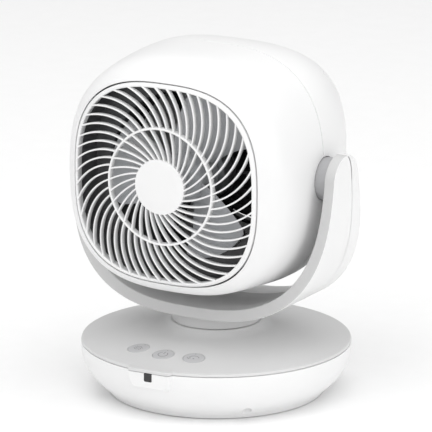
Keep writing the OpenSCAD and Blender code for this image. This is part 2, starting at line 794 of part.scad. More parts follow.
module front_grille() color(white) head_place() {
  inner_steps = 2;
  outer_steps = 3;
  for (k = [0:inner_fins - 1]) for (i = [0:inner_steps - 1]) {
    r0 = disc_r - 1 + (ring_r - disc_r + 1) * i / inner_steps;
    r1 = disc_r - 1 + (ring_r - disc_r + 1) * (i + 1) / inner_steps;
    fin_piece(r0, 360 * k / inner_fins + inner_turn(r0), r1, 360 * k / inner_fins + inner_turn(r1));
  }
  for (k = [0:outer_fins - 1]) {
    start = 360 * k / outer_fins;
    reach = fin_reach(start, 80, 112, 12);
    for (i = [0:outer_steps - 1]) {
      r0 = ring_r + (reach - ring_r) * i / outer_steps;
      r1 = ring_r + (reach - ring_r) * (i + 1) / outer_steps;
      fin_piece(r0, start + outer_turn(r0), r1, start + outer_turn(r1));
    }
  }
  rod_f(disc_f - 5, disc_f, disc_r);
  spun() translate([ring_r - 1.1, grille_f(ring_r) - fin_depth]) square([2.2, fin_depth + 0.2]);
  skin([
    section(frame_out, frame_back_f, grille_power),
    section(frame_in, frame_back_f, grille_power),
    section(frame_in, 98.8, grille_power),
    section(frame_in + 1.6, 98.7, grille_power),
    section(frame_out, 96.6, grille_power)
  ]);
}

// Rings that narrow to the rear, so that they overlap when seen from behind
module rear_grille() color(dark) head_place() difference() {
  union() {
    for (r = [18:8:66]) spun() translate([r, back_f + 0.6]) polygon([[0, 0], [2.2, 0], [9, 7], [6.8, 7]]);
    spun() translate([intake_r - 4, back_f + 0.4]) square([3.9, 8]);
    rod_f(back_f + 0.4, back_f + 5, 19);
    for (t = [0:30:330]) rotate([0, t, 0]) translate([16, -back_f - 7, -1.1]) cube([intake_r - 18, 6, 2.2]);
  }
  rod_f(back_f + 2.4, back_f + 6, 14);
}

module sleeve_outline(inset)
  polygon(squircle(sleeve_half_w - inset, sleeve_half_w * head_aspect - inset, grille_power, 72));

module air_duct() color(dark) head_place() {
  difference() {
    union() {
      rod_f(duct_f[0], duct_f[1], duct_r + duct_t);
      along_y(-duct_f[1], -duct_f[1] + duct_t) sleeve_outline(0);
    }
    rod_f(duct_f[0] - 1, duct_f[1] - duct_t, duct_r);
    rod_f(duct_f[0], duct_f[1] + 1, baffle_r);
  }
  difference() {
    along_y(-sleeve_f, -duct_f[1]) sleeve_outline(0);
    along_y(-sleeve_f - 1, -duct_f[1] + 1) sleeve_outline(2);
  }
}

module trunnions() color(steel) head_place() both_sides() difference() {
  union() {
    rod_x(boss_in - 3.6, boss_in - 1, pocket_r + 2.6);
    rod_x(boss_in - 1.5, trunnion_end, trunnion_r);
  }
  rod_x(boss_in - 5, trunnion_end + 1, trunnion_r - 2.5);
}

module tilt_washers() color(steel) head_place() both_sides()
  translate([boss_in - 0.95, 0, 0]) rotate([0, 90, 0]) tube(0.6, 16, trunnion_r + 0.1);

module pivot_clips() color(steel) head_place() both_sides()
  translate([boss_out + 3.3, 0, 0]) rotate([0, 90, 0]) tube(1, trunnion_r + 2.6, trunnion_r);

// ---------------------------------------------------------------- fan motor

module at_motor_screws(r) for (t = [90:120:330]) rotate([0, t, 0]) translate([r, 0, 0]) children();

module motor_mount() color(dark) head_place() difference() {
  union() {
    rod_f(4, 22, motor_r + 3.5);
    spun() translate([duct_r - 3, 10]) square([2.95, 10]);
    for (t = [0:60:300])
      rotate([0, t, 0]) translate([motor_r + 2, -20, -1.5]) cube([duct_r - motor_r - 4, 9, 3]);
  }
  rod_f(7, 23, motor_r);
  rod_f(3, 8, 14);
  at_motor_screws(24) rod_f(0, 10, 1.8);
}

module motor_screws() color(steel) head_place()
  at_motor_screws(24) translate([0, -4, 0]) rotate([-90, 0, 0]) screw(9, 1.3);

module motor_front_cap() color(steel) head_place() difference() {
  union() {
    rod_f(24, 38, motor_r);
    rod_f(37, motor_front, 15);
  }
  rod_f(23, 35, motor_r - 2.4);
  rod_f(30, motor_front - 1, bearing_r);
  rod_f(30, motor_front + 1, shaft_r + 1.5);
}

module motor_rear_cap() color(steel) head_place() difference() {
  rod_f(7, 24, motor_r);
  rod_f(18, 25, motor_r - 2.4);
  rod_f(10, 20, bearing_r);
  rod_f(6, 20, shaft_r + 1.5);
  at_motor_screws(24) rod_f(6, 16, 1.3);
}

module motor_stator() color(steel) head_place() {
  difference() {
    rod_f(19, 30, stator_r);
    rod_f(18, 31, stator_r - 4);
  }
  for (i = [0:pole_count - 1]) rotate([0, 360 * i / pole_count, 0])
    translate([rotor_r + 1.6, -29.7, -2.2]) cube([stator_r - rotor_r - 5, 10.4, 4.4]);
}

module motor_coils() color(copper) head_place()
  for (i = [0:pole_count - 1]) rotate([0, 360 * i / pole_count, 0]) difference() {
    translate([rotor_r + 2.6, -32, -3.4]) cube([5.6, 13.6, 6.8]);
    translate([rotor_r + 2, -30.1, -2.3]) cube([7, 11.2, 4.6]);
  }

module motor_bearings() color(steel) head_place() {
  difference() {
    union() {
      rod_f(motor_front - 1 - bearing_w, motor_front - 1, bearing_r);
      rod_f(10, 10 + bearing_w, bearing_r);
    }
    rod_f(0, 60, shaft_r + run);
  }
}

module motor_board() color(pcb_green) head_place() difference() {
  rod_f(0.2, 1.8, 27);
  rod_f(-1, 3, 8);
}

module motor_shaft() color(steel) head_place() rod_f(9, 73, shaft_r);

module motor_rotor() color(dark) head_place() difference() {
  rod_f(18.5, 30.5, rotor_r);
  rod_f(17, 31.5, shaft_r);
}

// One blade: a curved sheet that climbs along the axis and has round outer corners
module blade() {
  spans = 7;
  chords = 8;
  root_r = impeller_hub_r - 2;
  function span_r(i) = root_r + (blade_r - root_r) * sin(90 * i / spans);
  function out(i) = (span_r(i) - root_r) / (blade_r - root_r);
  function width(i) = (blade_span + blade_root_extra * pow(1 - out(i), 3)) * (i == spans ? 0.9 : 1);
  function point(i, j, side) =
    let (share = j / chords - 0.5,
         r = span_r(i),
         turn = blade_sweep[0] - blade_sweep[1] * out(i) + share * width(i),
         f = blade_f + blade_rise * share * (1.15 - 0.3 * i / spans) + side * blade_t / 2)
      [r * cos(turn), -f, r * sin(turn)];
  sheet([
    for (i = [0:spans])
      concat([for (j = [0:chords]) point(i, j, 1)], [for (j = [chords:-1:0]) point(i, j, -1)])
  ]);
}

module impeller() color(blade_grey) head_place() {
  difference() {
    spun() polygon([
      [0, hub_f[1]], [14, hub_f[1]], [20, hub_f[1] - 2.5], [24, hub_f[1] - 8],
      [impeller_hub_r, hub_f[1] - 14], [impeller_hub_r, hub_f[0]],
      [impeller_hub_r - 2.4, hub_f[0]], [impeller_hub_r - 2.4, 57], [18, 65], [9, 66.5], [9, 46], [0, 46]
    ]);
    rod_f(40, 80, shaft_r);
  }
  for (k = [0:blade_count - 1]) rotate([0, -360 * k / blade_count, 0]) blade();
}

module impeller_nut() color(blade_grey) head_place() difference() {
  spun() polygon([[0, 70], [11, 70], [11, 73], [9, 76.5], [5, 78.4], [0, 79]]);
  rod_f(69, 73.05, shaft_r);
}

base_bowl();
base_cover();
rubber_feet();
base_screws();
ballast_plate();
ballast_screws();
ir_window();
ir_receiver();
ir_board();
power_inlet();
control_board();
tact_switches();
board_screws();
swing_bracket();
bracket_screws();
spindle_bush();
thrust_washer();
swing_motor();
swing_motor_screws();
motor_pinion();
pinion_shaft();
button_wind();
button_power();
button_swing();
yoke_front();
yoke_rear();
yoke_neck();
yoke_screws();
swing_gear();
gear_retainer();
pivot_bosses();
front_shell();
rear_shell();
shell_screws();
front_grille();
rear_grille();
air_duct();
trunnions();
tilt_washers();
pivot_clips();
motor_mount();
motor_screws();
motor_front_cap();
motor_rear_cap();
motor_stator();
motor_coils();
motor_bearings();
motor_board();
impeller();
impeller_nut();
motor_shaft();
motor_rotor();
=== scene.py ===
import json
import math

import bmesh
import bpy
import numpy as np
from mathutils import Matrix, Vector


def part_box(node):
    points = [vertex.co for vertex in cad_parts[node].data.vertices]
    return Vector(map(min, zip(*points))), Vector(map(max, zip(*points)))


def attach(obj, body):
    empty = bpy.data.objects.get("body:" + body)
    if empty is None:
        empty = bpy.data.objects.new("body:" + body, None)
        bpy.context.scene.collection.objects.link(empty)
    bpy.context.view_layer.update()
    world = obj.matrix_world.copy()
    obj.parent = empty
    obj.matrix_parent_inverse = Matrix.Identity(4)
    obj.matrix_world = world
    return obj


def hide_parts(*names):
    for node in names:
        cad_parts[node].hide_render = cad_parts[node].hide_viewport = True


# Looks of a table-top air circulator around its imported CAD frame.
# Outlines are worked out in millimetres and become metres where a mesh is made.
# "Forward" is the distance from the tilt axis towards -Y, where the air leaves.
MM = 0.001

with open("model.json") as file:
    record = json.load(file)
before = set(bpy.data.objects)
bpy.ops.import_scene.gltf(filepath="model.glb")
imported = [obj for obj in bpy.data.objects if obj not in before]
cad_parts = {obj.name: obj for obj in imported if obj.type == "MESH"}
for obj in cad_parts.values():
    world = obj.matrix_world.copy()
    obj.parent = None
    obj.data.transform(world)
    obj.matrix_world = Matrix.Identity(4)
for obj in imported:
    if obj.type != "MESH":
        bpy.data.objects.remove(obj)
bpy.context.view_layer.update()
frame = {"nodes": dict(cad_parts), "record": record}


# ------------------------------------------------------------------ sizes read from the frame

def corners(node):
    """Lowest and highest corner of a CAD node, in millimetres."""
    low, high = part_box(node)
    return low / MM, high / MM


TILT_Z = sum(corner.z for corner in corners("pivot_bosses")) / 2
HEAD_HALF_W = corners("rear_shell")[1].x
HEAD_UP = corners("rear_shell")[1].z - TILT_Z
MOUTH_F = -corners("front_shell")[0].y
BACK_F = -corners("rear_shell")[1].y
DISC_F = -corners("front_grille")[0].y
BASE_R = corners("base_bowl")[1].x
YOKE_HALF_W = corners("yoke_rear")[1].x
YOKE_DROP = TILT_Z - corners("yoke_rear")[0].z
ARM_END_R = corners("yoke_rear")[1].z - TILT_Z
BOSS_R = corners("pivot_bosses")[1].z - TILT_Z
NECK_R = corners("yoke_neck")[1].x

# ------------------------------------------------------------------ shape values, millimetres

HEAD_ASPECT = 0.98      # height of the head's section over its width
SEAM_F = 3.0            # seam between the head's shells
WIDEST_F = 5.0
WIDEST_POWER = 2.75     # superellipse power of the widest section
MOUTH_POWER_GAIN = 0.05
REAR_POWER_GAIN = 0.35
UPPER_SOFTENING = 0.31  # how much rounder the upper corners get on the way to the mouth
LOWER_SOFTENING = 0.12
SOFTENING_SHIFT = 1.84  # moves the softest section towards the mouth
# groove between the head's shells, as (inset of the skin, distance from the seam)
SEAM_GROOVE = ((2.4, 0.36), (1.2, 0.42), (0.4, 0.5), (0.1, 0.68), (0.0, 0.95))
MOUTH_HALF_W = 99.4
FRONT_POWER = 7.7       # how sharply the sides turn in to the mouth
TOP_POWER = 6.6         # the same for the top
CHIN_RISE = 8.7         # how much the underside climbs towards the mouth
CHIN_POWER = 14
REAR_ROLL_F = -80.0     # where the side wall starts to roll into the back
REAR_ROLL = 12.0        # how far the roll draws in
REAR_FALL = 22.2        # how far the sides draw in on the way to the roll
REAR_POWER = 2.3
HEAD_WALL = 2.6
INTAKE_R = 82.0
POCKET_R = BOSS_R + 0.8
BOSS_IN = HEAD_HALF_W - 3.6
SCREW_PLACE = (85.0, 83.0)       # of the shell screws, sideways and up from the axis
SCREW_SEAT_F = -45.0     # seat of the shell screws
SPLIT_F = -31.0          # where the posts of the two shells meet

GRILLE_POWER = 2.76
DISC_R = 26.5
DISC_T = 5.0
RING_R = 55.7
RING_HALF_T = 1.1
GRILLE_DISH = 7.0       # how far the fins fall back at DISH_R beyond the disc
DISH_R = 67.5
INNER_FINS = 32
INNER_SWEEP = 22.5      # degrees that an inner fin turns from the disc to the ring
OUTER_FINS = 48
OUTER_SWEEP = (0.42, 0.00306)    # degrees per mm and per square mm beyond the ring
FIN_T = 1.6
FIN_DEPTH = 6.0
FRAME_OUT = MOUTH_HALF_W - 0.6
FRAME_IN = MOUTH_HALF_W - 5.0
FRAME_BACK_F = 91.0
BLADE_R = 81.0

YOKE_T = 10.7
YOKE_POWER = 2.74
YOKE_FOOT_DEPTH = 51.0
YOKE_SEAM = 0.39         # place of the seam, as a share of the yoke's half depth
YOKE_SCREW_TURNS = (8, 40, 70, 110, 140, 172)    # degrees along the foot

SEAM_Z = 49.0
SEAM_HALF_GAP = 0.25
BOWL_FALL = 23.7        # how far the bowl draws in over BOWL_RISE below the seam
BOWL_RISE = 43.5
BOWL_POWER = 2.45
COVER_SLOPE = 9.4        # degrees that the cover climbs towards the neck
COVER_Z = 57.3           # height of the cover at the ring of buttons
BUTTON_RING_R = 95.2
BUTTON_STEP = 19.0
BUTTON_TURN = -1.7       # turn of the middle button from the front
BUTTON_R = 10.5
PRINT_T = 0.08           # thickness of the printed marks
BOSS_FRONT = 132.6
BOSS_BACK = 118.0
BOSS_TURN = 1.0          # turn of the receiver's housing from the front
SCREW_RING_R = 111.0     # of the screws under the bowl
FOOT_RING_R = 90.0       # of the rubber pads
SOCKET_Z = 22.0
COLLAR_BACK = 126.6      # rear face of the power socket's collar


# ------------------------------------------------------------------ outlines

def arc(cx, cy, rx, ry, start, end, steps):
    """Points on an ellipse's arc, angles in degrees."""
    turns = np.radians(np.linspace(start, end, steps + 1))
    return [(cx + rx * math.cos(t), cy + ry * math.sin(t)) for t in turns]


def filleted(points, steps=4, closed=True):
    """An outline whose corners are rounded; each point is (x, y) or (x, y, radius)."""
    out = []
    count = len(points)
    for i, point in enumerate(points):
        here = np.array(point[:2], float)
        radius = point[2] if len(point) > 2 else 0
        if radius <= 0 or (not closed and i in (0, count - 1)):
            out.append(tuple(here))
            continue
        before = np.array(points[i - 1][:2], float) - here
        after = np.array(points[(i + 1) % count][:2], float) - here
        long_b, long_a = np.linalg.norm(before), np.linalg.norm(after)
        before, after = before / long_b, after / long_a
        half = math.acos(np.clip(before @ after, -1, 1)) / 2
        reach = min(radius / math.tan(half), 0.49 * long_b, 0.49 * long_a)
        start, end = here + before * reach, here + after * reach
        for k in range(steps + 1):
            t = k / steps
            out.append(tuple((1 - t) ** 2 * start + 2 * t * (1 - t) * here + t * t * end))
    return out


def polar(r, degrees):
    """Point (x, y) at a distance and angle from the middle."""
    return r * math.cos(math.radians(degrees)), r * math.sin(math.radians(degrees))


def squircle_radius(turn, a, b, power):
    """Radius of a superellipse with half axes a and b in the direction of turn."""
    return (abs(math.cos(turn) / a) ** power + abs(math.sin(turn) / b) ** power) ** (-1 / power)


def section(half_w, f, power, count=240):
    """A superellipse of points around the head's axis, at forward distance f."""
    ring = []
    for i in range(count):
        t = 2 * math.pi * i / count
        r = squircle_radius(t, half_w, half_w * HEAD_ASPECT, power)
        ring.append((r * math.cos(t), -f, r * math.sin(t) + TILT_Z))
    return ring


def ahead(f):
    """Share of the way from the widest section to the mouth."""
    return max(f - WIDEST_F, 0) / (MOUTH_F - WIDEST_F)


def behind(f):
    """Share of the way from the widest section to the rear roll."""
    return max(WIDEST_F - f, 0) / (WIDEST_F - REAR_ROLL_F)


def rear_fall(f):
    """How far the sides have drawn in behind the widest section."""
    return REAR_FALL * behind(f) ** REAR_POWER


def head_half_w(f):
    """Half width of the head."""
    turn_in = (HEAD_HALF_W - MOUTH_HALF_W) * ahead(f) ** FRONT_POWER
    return HEAD_HALF_W - turn_in - rear_fall(f)


def head_up(f):
    """Height of the head's top above the tilt axis."""
    turn_in = (HEAD_UP - MOUTH_HALF_W * HEAD_ASPECT) * ahead(f) ** TOP_POWER
    return HEAD_UP - turn_in - HEAD_ASPECT * rear_fall(f)


def head_down(f):
    """Depth of the head's underside below the tilt axis; it climbs towards the mouth."""
    fall = (HEAD_HALF_W - MOUTH_HALF_W) * HEAD_ASPECT
    turn_in = (fall - CHIN_RISE) * ahead(f) ** CHIN_POWER
    widest = HEAD_HALF_W * HEAD_ASPECT
    return widest - CHIN_RISE * ahead(f) - turn_in - HEAD_ASPECT * rear_fall(f)


def head_power(f, upper=True):
    """Roundness of the head's section; the upper corners are rounder half way to the mouth."""
    softening = UPPER_SOFTENING if upper else LOWER_SOFTENING
    power = WIDEST_POWER + MOUTH_POWER_GAIN * ahead(f) + REAR_POWER_GAIN * behind(f)
    return power - softening * math.sin(math.pi * ahead(f) ** SOFTENING_SHIFT)


def head_section(f, inset=0.0, lift=0.0, count=240):
    """Points around the head's skin at forward distance f, inset and moved forward by lift."""
    half_w, up, down = head_half_w(f) - inset, head_up(f) - inset, head_down(f) - inset
    ring = []
    for i in range(count):
        t = 2 * math.pi * i / count
        upper = i <= count // 2
        r = squircle_radius(t, half_w, up if upper else down, head_power(f, upper))
        ring.append((r * math.cos(t), -f - lift, r * math.sin(t) + TILT_Z))
    return ring


def turn_steps(count):
    """Equal steps around a full turn, in radians."""
    return np.linspace(0, 2 * math.pi, count, endpoint=False)


def round_ring(r, f, count=240):
    """A circle of points around the impeller's axis."""
    return [(r * math.cos(t), -f, r * math.sin(t) + TILT_Z) for t in turn_steps(count)]


def grille_f(r):
    """Front of the grille's fins at a radius, in forward distance."""
    return DISC_F - GRILLE_DISH * (max(r - DISC_R, 0) / DISH_R) ** 2


# ------------------------------------------------------------------ mesh helpers

def finish_mesh(name, mesh, sharp=38):
    """Cleans a mesh, smooths all but its sharp edges and makes an object of it."""
    work = bmesh.new()
    work.from_mesh(mesh)
    bmesh.ops.remove_doubles(work, verts=work.verts, dist=2e-7)
    bmesh.ops.dissolve_degenerate(work, edges=work.edges, dist=1e-7)
    bmesh.ops.recalc_face_normals(work, faces=work.faces)
    work.to_mesh(mesh)
    work.free()
    mesh.shade_smooth()
    mesh.set_sharp_from_angle(angle=math.radians(sharp))
    piece = bpy.data.objects.new(name, mesh)
    bpy.context.scene.collection.objects.link(piece)
    return piece


def from_grids(name, grids, sharp=38):
    """One piece from grids, each given as (rows of points in mm, rows closed, ends capped)."""
    points, faces = [], []
    for rows, rows_closed, capped in grids:
        base, count = len(points), len(rows[0])
        for row in rows:
            points.extend(row)
        total = len(rows)
        for i in range(total if rows_closed else total - 1):
            for j in range(count):
                a, b = base + i * count + j, base + i * count + (j + 1) % count
                n = base + ((i + 1) % total) * count
                faces.append((a, b, n + (j + 1) % count, n + j))
        if capped:
            faces.append(tuple(base + j for j in reversed(range(count))))
            faces.append(tuple(base + (total - 1) * count + j for j in range(count)))
    mesh = bpy.data.meshes.new(name)
    mesh.from_pydata([tuple(c * MM for c in p) for p in points], [], faces)
    return finish_mesh(name, mesh, sharp)


def spun_z(profile, count=200, centre=(0, 0)):
    """Grid of an outline of (radius, height) turned about a vertical axis."""
    return [[(centre[0] + r * math.cos(t), centre[1] + r * math.sin(t), z)
             for t in turn_steps(count)] for r, z in profile], True, False


def spun_f(profile, count=160):
    """Grid of an outline of (radius, forward distance) turned about the impeller's axis."""
    return [round_ring(r, f, count) for r, f in profile], True, False


def spun_x(profile, side, count=120):
    """Grid of an outline of (radius, distance from the middle) turned about the tilt axis."""
    return [[(side * x, r * math.cos(t), r * math.sin(t) + TILT_Z)
             for t in turn_steps(count)] for r, x in profile], True, False


def rod(name, start, end, radius, count=64):
    """A plain rod between two points in millimetres, used to cut holes."""
    start, end = Vector(start), Vector(end)
    along = (end - start).normalized()
    side = along.orthogonal().normalized()
    up = along.cross(side)
    rings = []
    for middle in (start, end):
        rings.append([tuple(middle + radius * (side * math.cos(t) + up * math.sin(t)))
                      for t in turn_steps(count)])
    return from_grids(name, [(rings, False, True)])


def combined(piece, tools, operation="DIFFERENCE", sharp=38):
    """Cuts the tools out of the piece, or joins them to it, and removes the tools."""
    for tool in tools:
        change = piece.modifiers.new(operation, "BOOLEAN")
        change.operation = operation
        change.solver = "EXACT"
        change.object = tool
    bpy.context.view_layer.update()
    graph = bpy.context.evaluated_depsgraph_get()
    mesh = bpy.data.meshes.new_from_object(piece.evaluated_get(graph))
    piece.modifiers.clear()
    piece.data = mesh
    mesh.shade_smooth()
    mesh.set_sharp_from_angle(angle=math.radians(sharp))
    for tool in tools:
        bpy.data.objects.remove(tool)
    return piece


def weighted(piece):
    """Keeps flat faces flat beside their small rounded edges."""
    change = piece.modifiers.new("normals", "WEIGHTED_NORMAL")
    change.keep_sharp = True
    change.weight = 60
    return piece


def place(piece, body, slot, material, *nodes):
    """Makes the piece ride on its body, stand for its CAD nodes and wear its material."""
    piece.data.materials.clear()
    piece.data.materials.append(material)
    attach(piece, body)
    if nodes:
        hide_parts(*nodes)
    return piece


# ------------------------------------------------------------------ materials

def new_material(name):
    """A node material, its tree and its shader."""
    material = bpy.data.materials.new(name)
    material.use_nodes = True
    tree = material.node_tree
    return material, tree, tree.nodes["Principled BSDF"]


def node(tree, kind, **values):
    """A node with its properties and inputs set by name."""
    made = tree.nodes.new(kind)
    for key, value in values.items():
        if hasattr(made, key):
            setattr(made, key, value)
        else:
            made.inputs[key.replace("_", " ")].default_value = value
    return made


def texture(tree, kind="ShaderNodeTexNoise", **values):
    """A texture node that reads the object's own coordinates, in metres."""
    made = node(tree, kind, **values)
    place_node = tree.nodes.get("Texture Coordinate") or tree.nodes.new("ShaderNodeTexCoord")
    tree.links.new(place_node.outputs["Object"], made.inputs["Vector"])
    return made


def ramp(tree, source, low, high, start=0.35, end=0.65):
    """Turns a texture's value into a colour between low and high."""
    made = tree.nodes.new("ShaderNodeValToRGB")
    made.color_ramp.elements[0].position = start
    made.color_ramp.elements[0].color = (*low, 1)
    made.color_ramp.elements[1].position = end
    made.color_ramp.elements[1].color = (*high, 1)
    tree.links.new(source, made.inputs["Fac"])
    return made.outputs["Color"]


def value_range(tree, source, low, high):
    """Maps a texture's value from 0..1 to low..high."""
    made = tree.nodes.new("ShaderNodeMapRange")
    made.inputs["To Min"].default_value = low
    made.inputs["To Max"].default_value = high
    tree.links.new(source, made.inputs["Value"])
    return made.outputs["Result"]


def bump(tree, shader, source, distance, strength):
    """Fine relief of the surface, its depth in metres."""
    made = node(tree, "ShaderNodeBump", Strength=strength, Distance=distance)
    tree.links.new(source, made.inputs["Height"])
    tree.links.new(made.outputs["Normal"], shader.inputs["Normal"])


def moulded_plastic(name, colour, rough=0.42, grain=0.000018, grain_scale=1900, tint=0.02):
    """Moulded plastic: spark-eroded grain, faint flow marks and uneven gloss."""
    material, tree, shader = new_material(name)
    flow = texture(tree, Scale=14.0, Detail=3.0)
    low = tuple(max(c * (1 - tint), 0) for c in colour)
    base_colour = ramp(tree, flow.outputs["Fac"], low, colour)
    tree.links.new(base_colour, shader.inputs["Base Color"])
    gloss = texture(tree, Scale=60.0, Detail=4.0, Roughness=0.6)
    roughness = value_range(tree, gloss.outputs["Fac"], rough - 0.06, rough + 0.06)
    tree.links.new(roughness, shader.inputs["Roughness"])
    fine = texture(tree, Scale=grain_scale, Detail=2.0, Roughness=0.7)
    bump(tree, shader, fine.outputs["Fac"], grain, 0.5)
    shader.inputs["Specular IOR Level"].default_value = 0.45
    return material


def metal(name, colour, rough=0.32, stretch=(1, 1, 40), scratch=0.000012):
    """Plated or turned metal: fine lines across one direction and an uneven shine."""
    material, tree, shader = new_material(name)
    shader.inputs["Metallic"].default_value = 1.0
    mapping = tree.nodes.new("ShaderNodeMapping")
    mapping.inputs["Scale"].default_value = stretch
    coordinates = tree.nodes.new("ShaderNodeTexCoord")
    tree.links.new(coordinates.outputs["Object"], mapping.inputs["Vector"])
    lines = node(tree, "ShaderNodeTexNoise", Scale=160.0, Detail=5.0, Roughness=0.65)
    tree.links.new(mapping.outputs["Vector"], lines.inputs["Vector"])
    low = tuple(c * 0.86 for c in colour)
    tree.links.new(ramp(tree, lines.outputs["Fac"], low, colour), shader.inputs["Base Color"])
    roughness = value_range(tree, lines.outputs["Fac"], rough - 0.08, rough + 0.12)
    tree.links.new(roughness, shader.inputs["Roughness"])
    bump(tree, shader, lines.outputs["Fac"], scratch, 0.6)
    return material


def circuit_board(name):
    """Solder mask with darker ground areas and straight tracks."""
    material, tree, shader = new_material(name)
    tracks = texture(tree, "ShaderNodeTexBrick", Scale=260.0, Mortar_Size=0.04)
    tracks.inputs["Color1"].default_value = (0.010, 0.115, 0.045, 1)
    tracks.inputs["Color2"].default_value = (0.014, 0.150, 0.060, 1)
    tracks.inputs["Mortar"].default_value = (0.030, 0.260, 0.110, 1)
    tree.links.new(tracks.outputs["Color"], shader.inputs["Base Color"])
    shader.inputs["Roughness"].default_value = 0.35
    bump(tree, shader, tracks.outputs["Fac"], 0.00003, 0.5)
    return material


def copper_wire(name):
    """Enamelled wire wound in close turns."""
    material, tree, shader = new_material(name)
    turns = texture(tree, "ShaderNodeTexWave", Scale=420.0, Distortion=0.4, Detail=1.0)
    base_colour = ramp(tree, turns.outputs["Fac"], (0.20, 0.06, 0.02), (0.62, 0.25, 0.09))
    tree.links.new(base_colour, shader.inputs["Base Color"])
    shader.inputs["Metallic"].default_value = 0.85
    shader.inputs["Roughness"].default_value = 0.3
    bump(tree, shader, turns.outputs["Fac"], 0.0002, 0.8)
    return material


def smoked_lens(name):
    """Glossy window that is dark to the eye and clear to infrared, with fine dust."""
    material, tree, shader = new_material(name)
    dust = texture(tree, Scale=900.0, Detail=3.0)
    base_colour = ramp(tree, dust.outputs["Fac"], (0.004, 0.004, 0.005), (0.012, 0.011, 0.013))
    tree.links.new(base_colour, shader.inputs["Base Color"])
    tree.links.new(value_range(tree, dust.outputs["Fac"], 0.05, 0.16), shader.inputs["Roughness"])
    shader.inputs["Coat Weight"].default_value = 0.5
    return material


WHITE = moulded_plastic("white_plastic", (0.86, 0.86, 0.86), 0.40)
SATIN = moulded_plastic("satin_plastic", (0.58, 0.58, 0.58), 0.46, grain=0.000024)
COVER = moulded_plastic("cover_plastic", (0.67, 0.67, 0.67), 0.46, grain=0.000024)
# pivot bosses: a grey of their own, darkened further as painted shade from the head and the yoke
# arms around them
PIVOT_GREY_AND_SHADE = moulded_plastic("pivot_grey_and_shade", (0.42, 0.42, 0.43), 0.5, grain=0.000024)
GRILLE_WHITE = moulded_plastic("grille_plastic", (0.86, 0.86, 0.86), 0.38, grain=0.000012)
BUTTON = moulded_plastic("button_plastic", (0.53, 0.53, 0.54), 0.5, grain=0.00002)
PRINT = moulded_plastic("printed_mark", (0.27, 0.27, 0.28), 0.55, grain=0.000006)
BLADE = moulded_plastic("blade_plastic", (0.52, 0.53, 0.55), 0.42, grain=0.00002)
# dark grey for the sleeve and duct behind the grille: painted shade of the head's hollow inside
DUCT_PAINTED_SHADE = moulded_plastic("duct_painted_shade", (0.075, 0.075, 0.078), 0.5, grain=0.00002, tint=0.1)
# near-black plastic for the parts inside the head: painted shade, so that the hollow seen through
# the grille reads dark
DARK_PAINTED_SHADE = moulded_plastic("dark_plastic", (0.022, 0.022, 0.024), 0.55, grain=0.00003, tint=0.15)
RUBBER = moulded_plastic("rubber", (0.03, 0.03, 0.03), 0.75, grain=0.00006, grain_scale=900,
                         tint=0.2)
ACETAL = moulded_plastic("acetal", (0.76, 0.75, 0.68), 0.36)
STEEL = metal("plated_steel", (0.62, 0.63, 0.65))
TURNED = metal("turned_steel", (0.66, 0.67, 0.70), 0.24, (1, 1, 25))
BOARD = circuit_board("solder_mask")
COPPER = copper_wire("enamelled_copper")
LENS = smoked_lens("smoked_lens")

# the dark_plastic slot wears the near-black painted-shade plastic
CAD_MATERIALS = {
    "white_shell": WHITE, "satin_white": SATIN, "button_grey": BUTTON, "black_lens": LENS,
    "blade_grey": BLADE, "dark_plastic": DARK_PAINTED_SHADE, "rubber": RUBBER, "steel": STEEL,
    "circuit_board": BOARD, "acetal": ACETAL, "copper_wire": COPPER,
}
TURNED_NODES = ("motor_shaft", "pinion_shaft", "trunnions", "motor_bearings", "thrust_washer")


def dress_cad_nodes():
    """Gives every CAD node its procedural material."""
    for entry in frame["record"]["subparts"]:
        name = entry["node"]
        mesh = frame["nodes"][name].data
        mesh.materials.clear()
        slot_material = CAD_MATERIALS[entry["material_slot"]]
        mesh.materials.append(TURNED if name in TURNED_NODES else slot_material)


# ------------------------------------------------------------------ head

def pivot_pockets():
    """Rods that cut the pockets for the two pivot bosses."""
    start, end = 95, 130
    return [rod("pocket", (side * start, 0, TILT_Z), (side * end, 0, TILT_Z), POCKET_R, 96)
            for side in (-1, 1)]


def screw_posts(radius, start_f, end_f):
    """Rods around the axes of the four shell screws, between two forward distances."""
    return [rod("post", (x, -start_f, TILT_Z + z), (x, -end_f, TILT_Z + z), radius, 48)
            for x in (-SCREW_PLACE[0], SCREW_PLACE[0]) for z in (-SCREW_PLACE[1], SCREW_PLACE[1])]


def front_shell():
    """Front shell: seam groove, skin, mouth, inner wall, screw posts and half of the pockets."""
    rows = [head_section(SEAM_F, inset, lift) for inset, lift in SEAM_GROOVE]
    steps = 46
    start = SEAM_F + 1.2
    for i in range(steps + 1):
        share = i / steps
        rows.append(head_section(start + (MOUTH_F - 0.6 - start) * (1 - (1 - share) ** 2.1)))
    mouth_power = WIDEST_POWER + MOUTH_POWER_GAIN
    rows += [section(MOUTH_HALF_W + wider, f, mouth_power) for wider, f in (
        (0.7, MOUTH_F - 0.12), (0.3, MOUTH_F - 0.05), (0, MOUTH_F - 0.4), (0, 91.2))]
    rows.append(section(106, 86, 2.78))
    rows += [head_section(f, HEAD_WALL) for f in (80, 70, 55, 40, 20, SEAM_F + 0.06)]
    piece = from_grids("head_front_shell", [(rows, True, False)])
    combined(piece, screw_posts(4.2, SPLIT_F, 73), "UNION")
    combined(piece, pivot_pockets() + screw_posts(1.5, SPLIT_F - 1, 10))
    return place(piece, "head", "white_shell", WHITE, "front_shell")


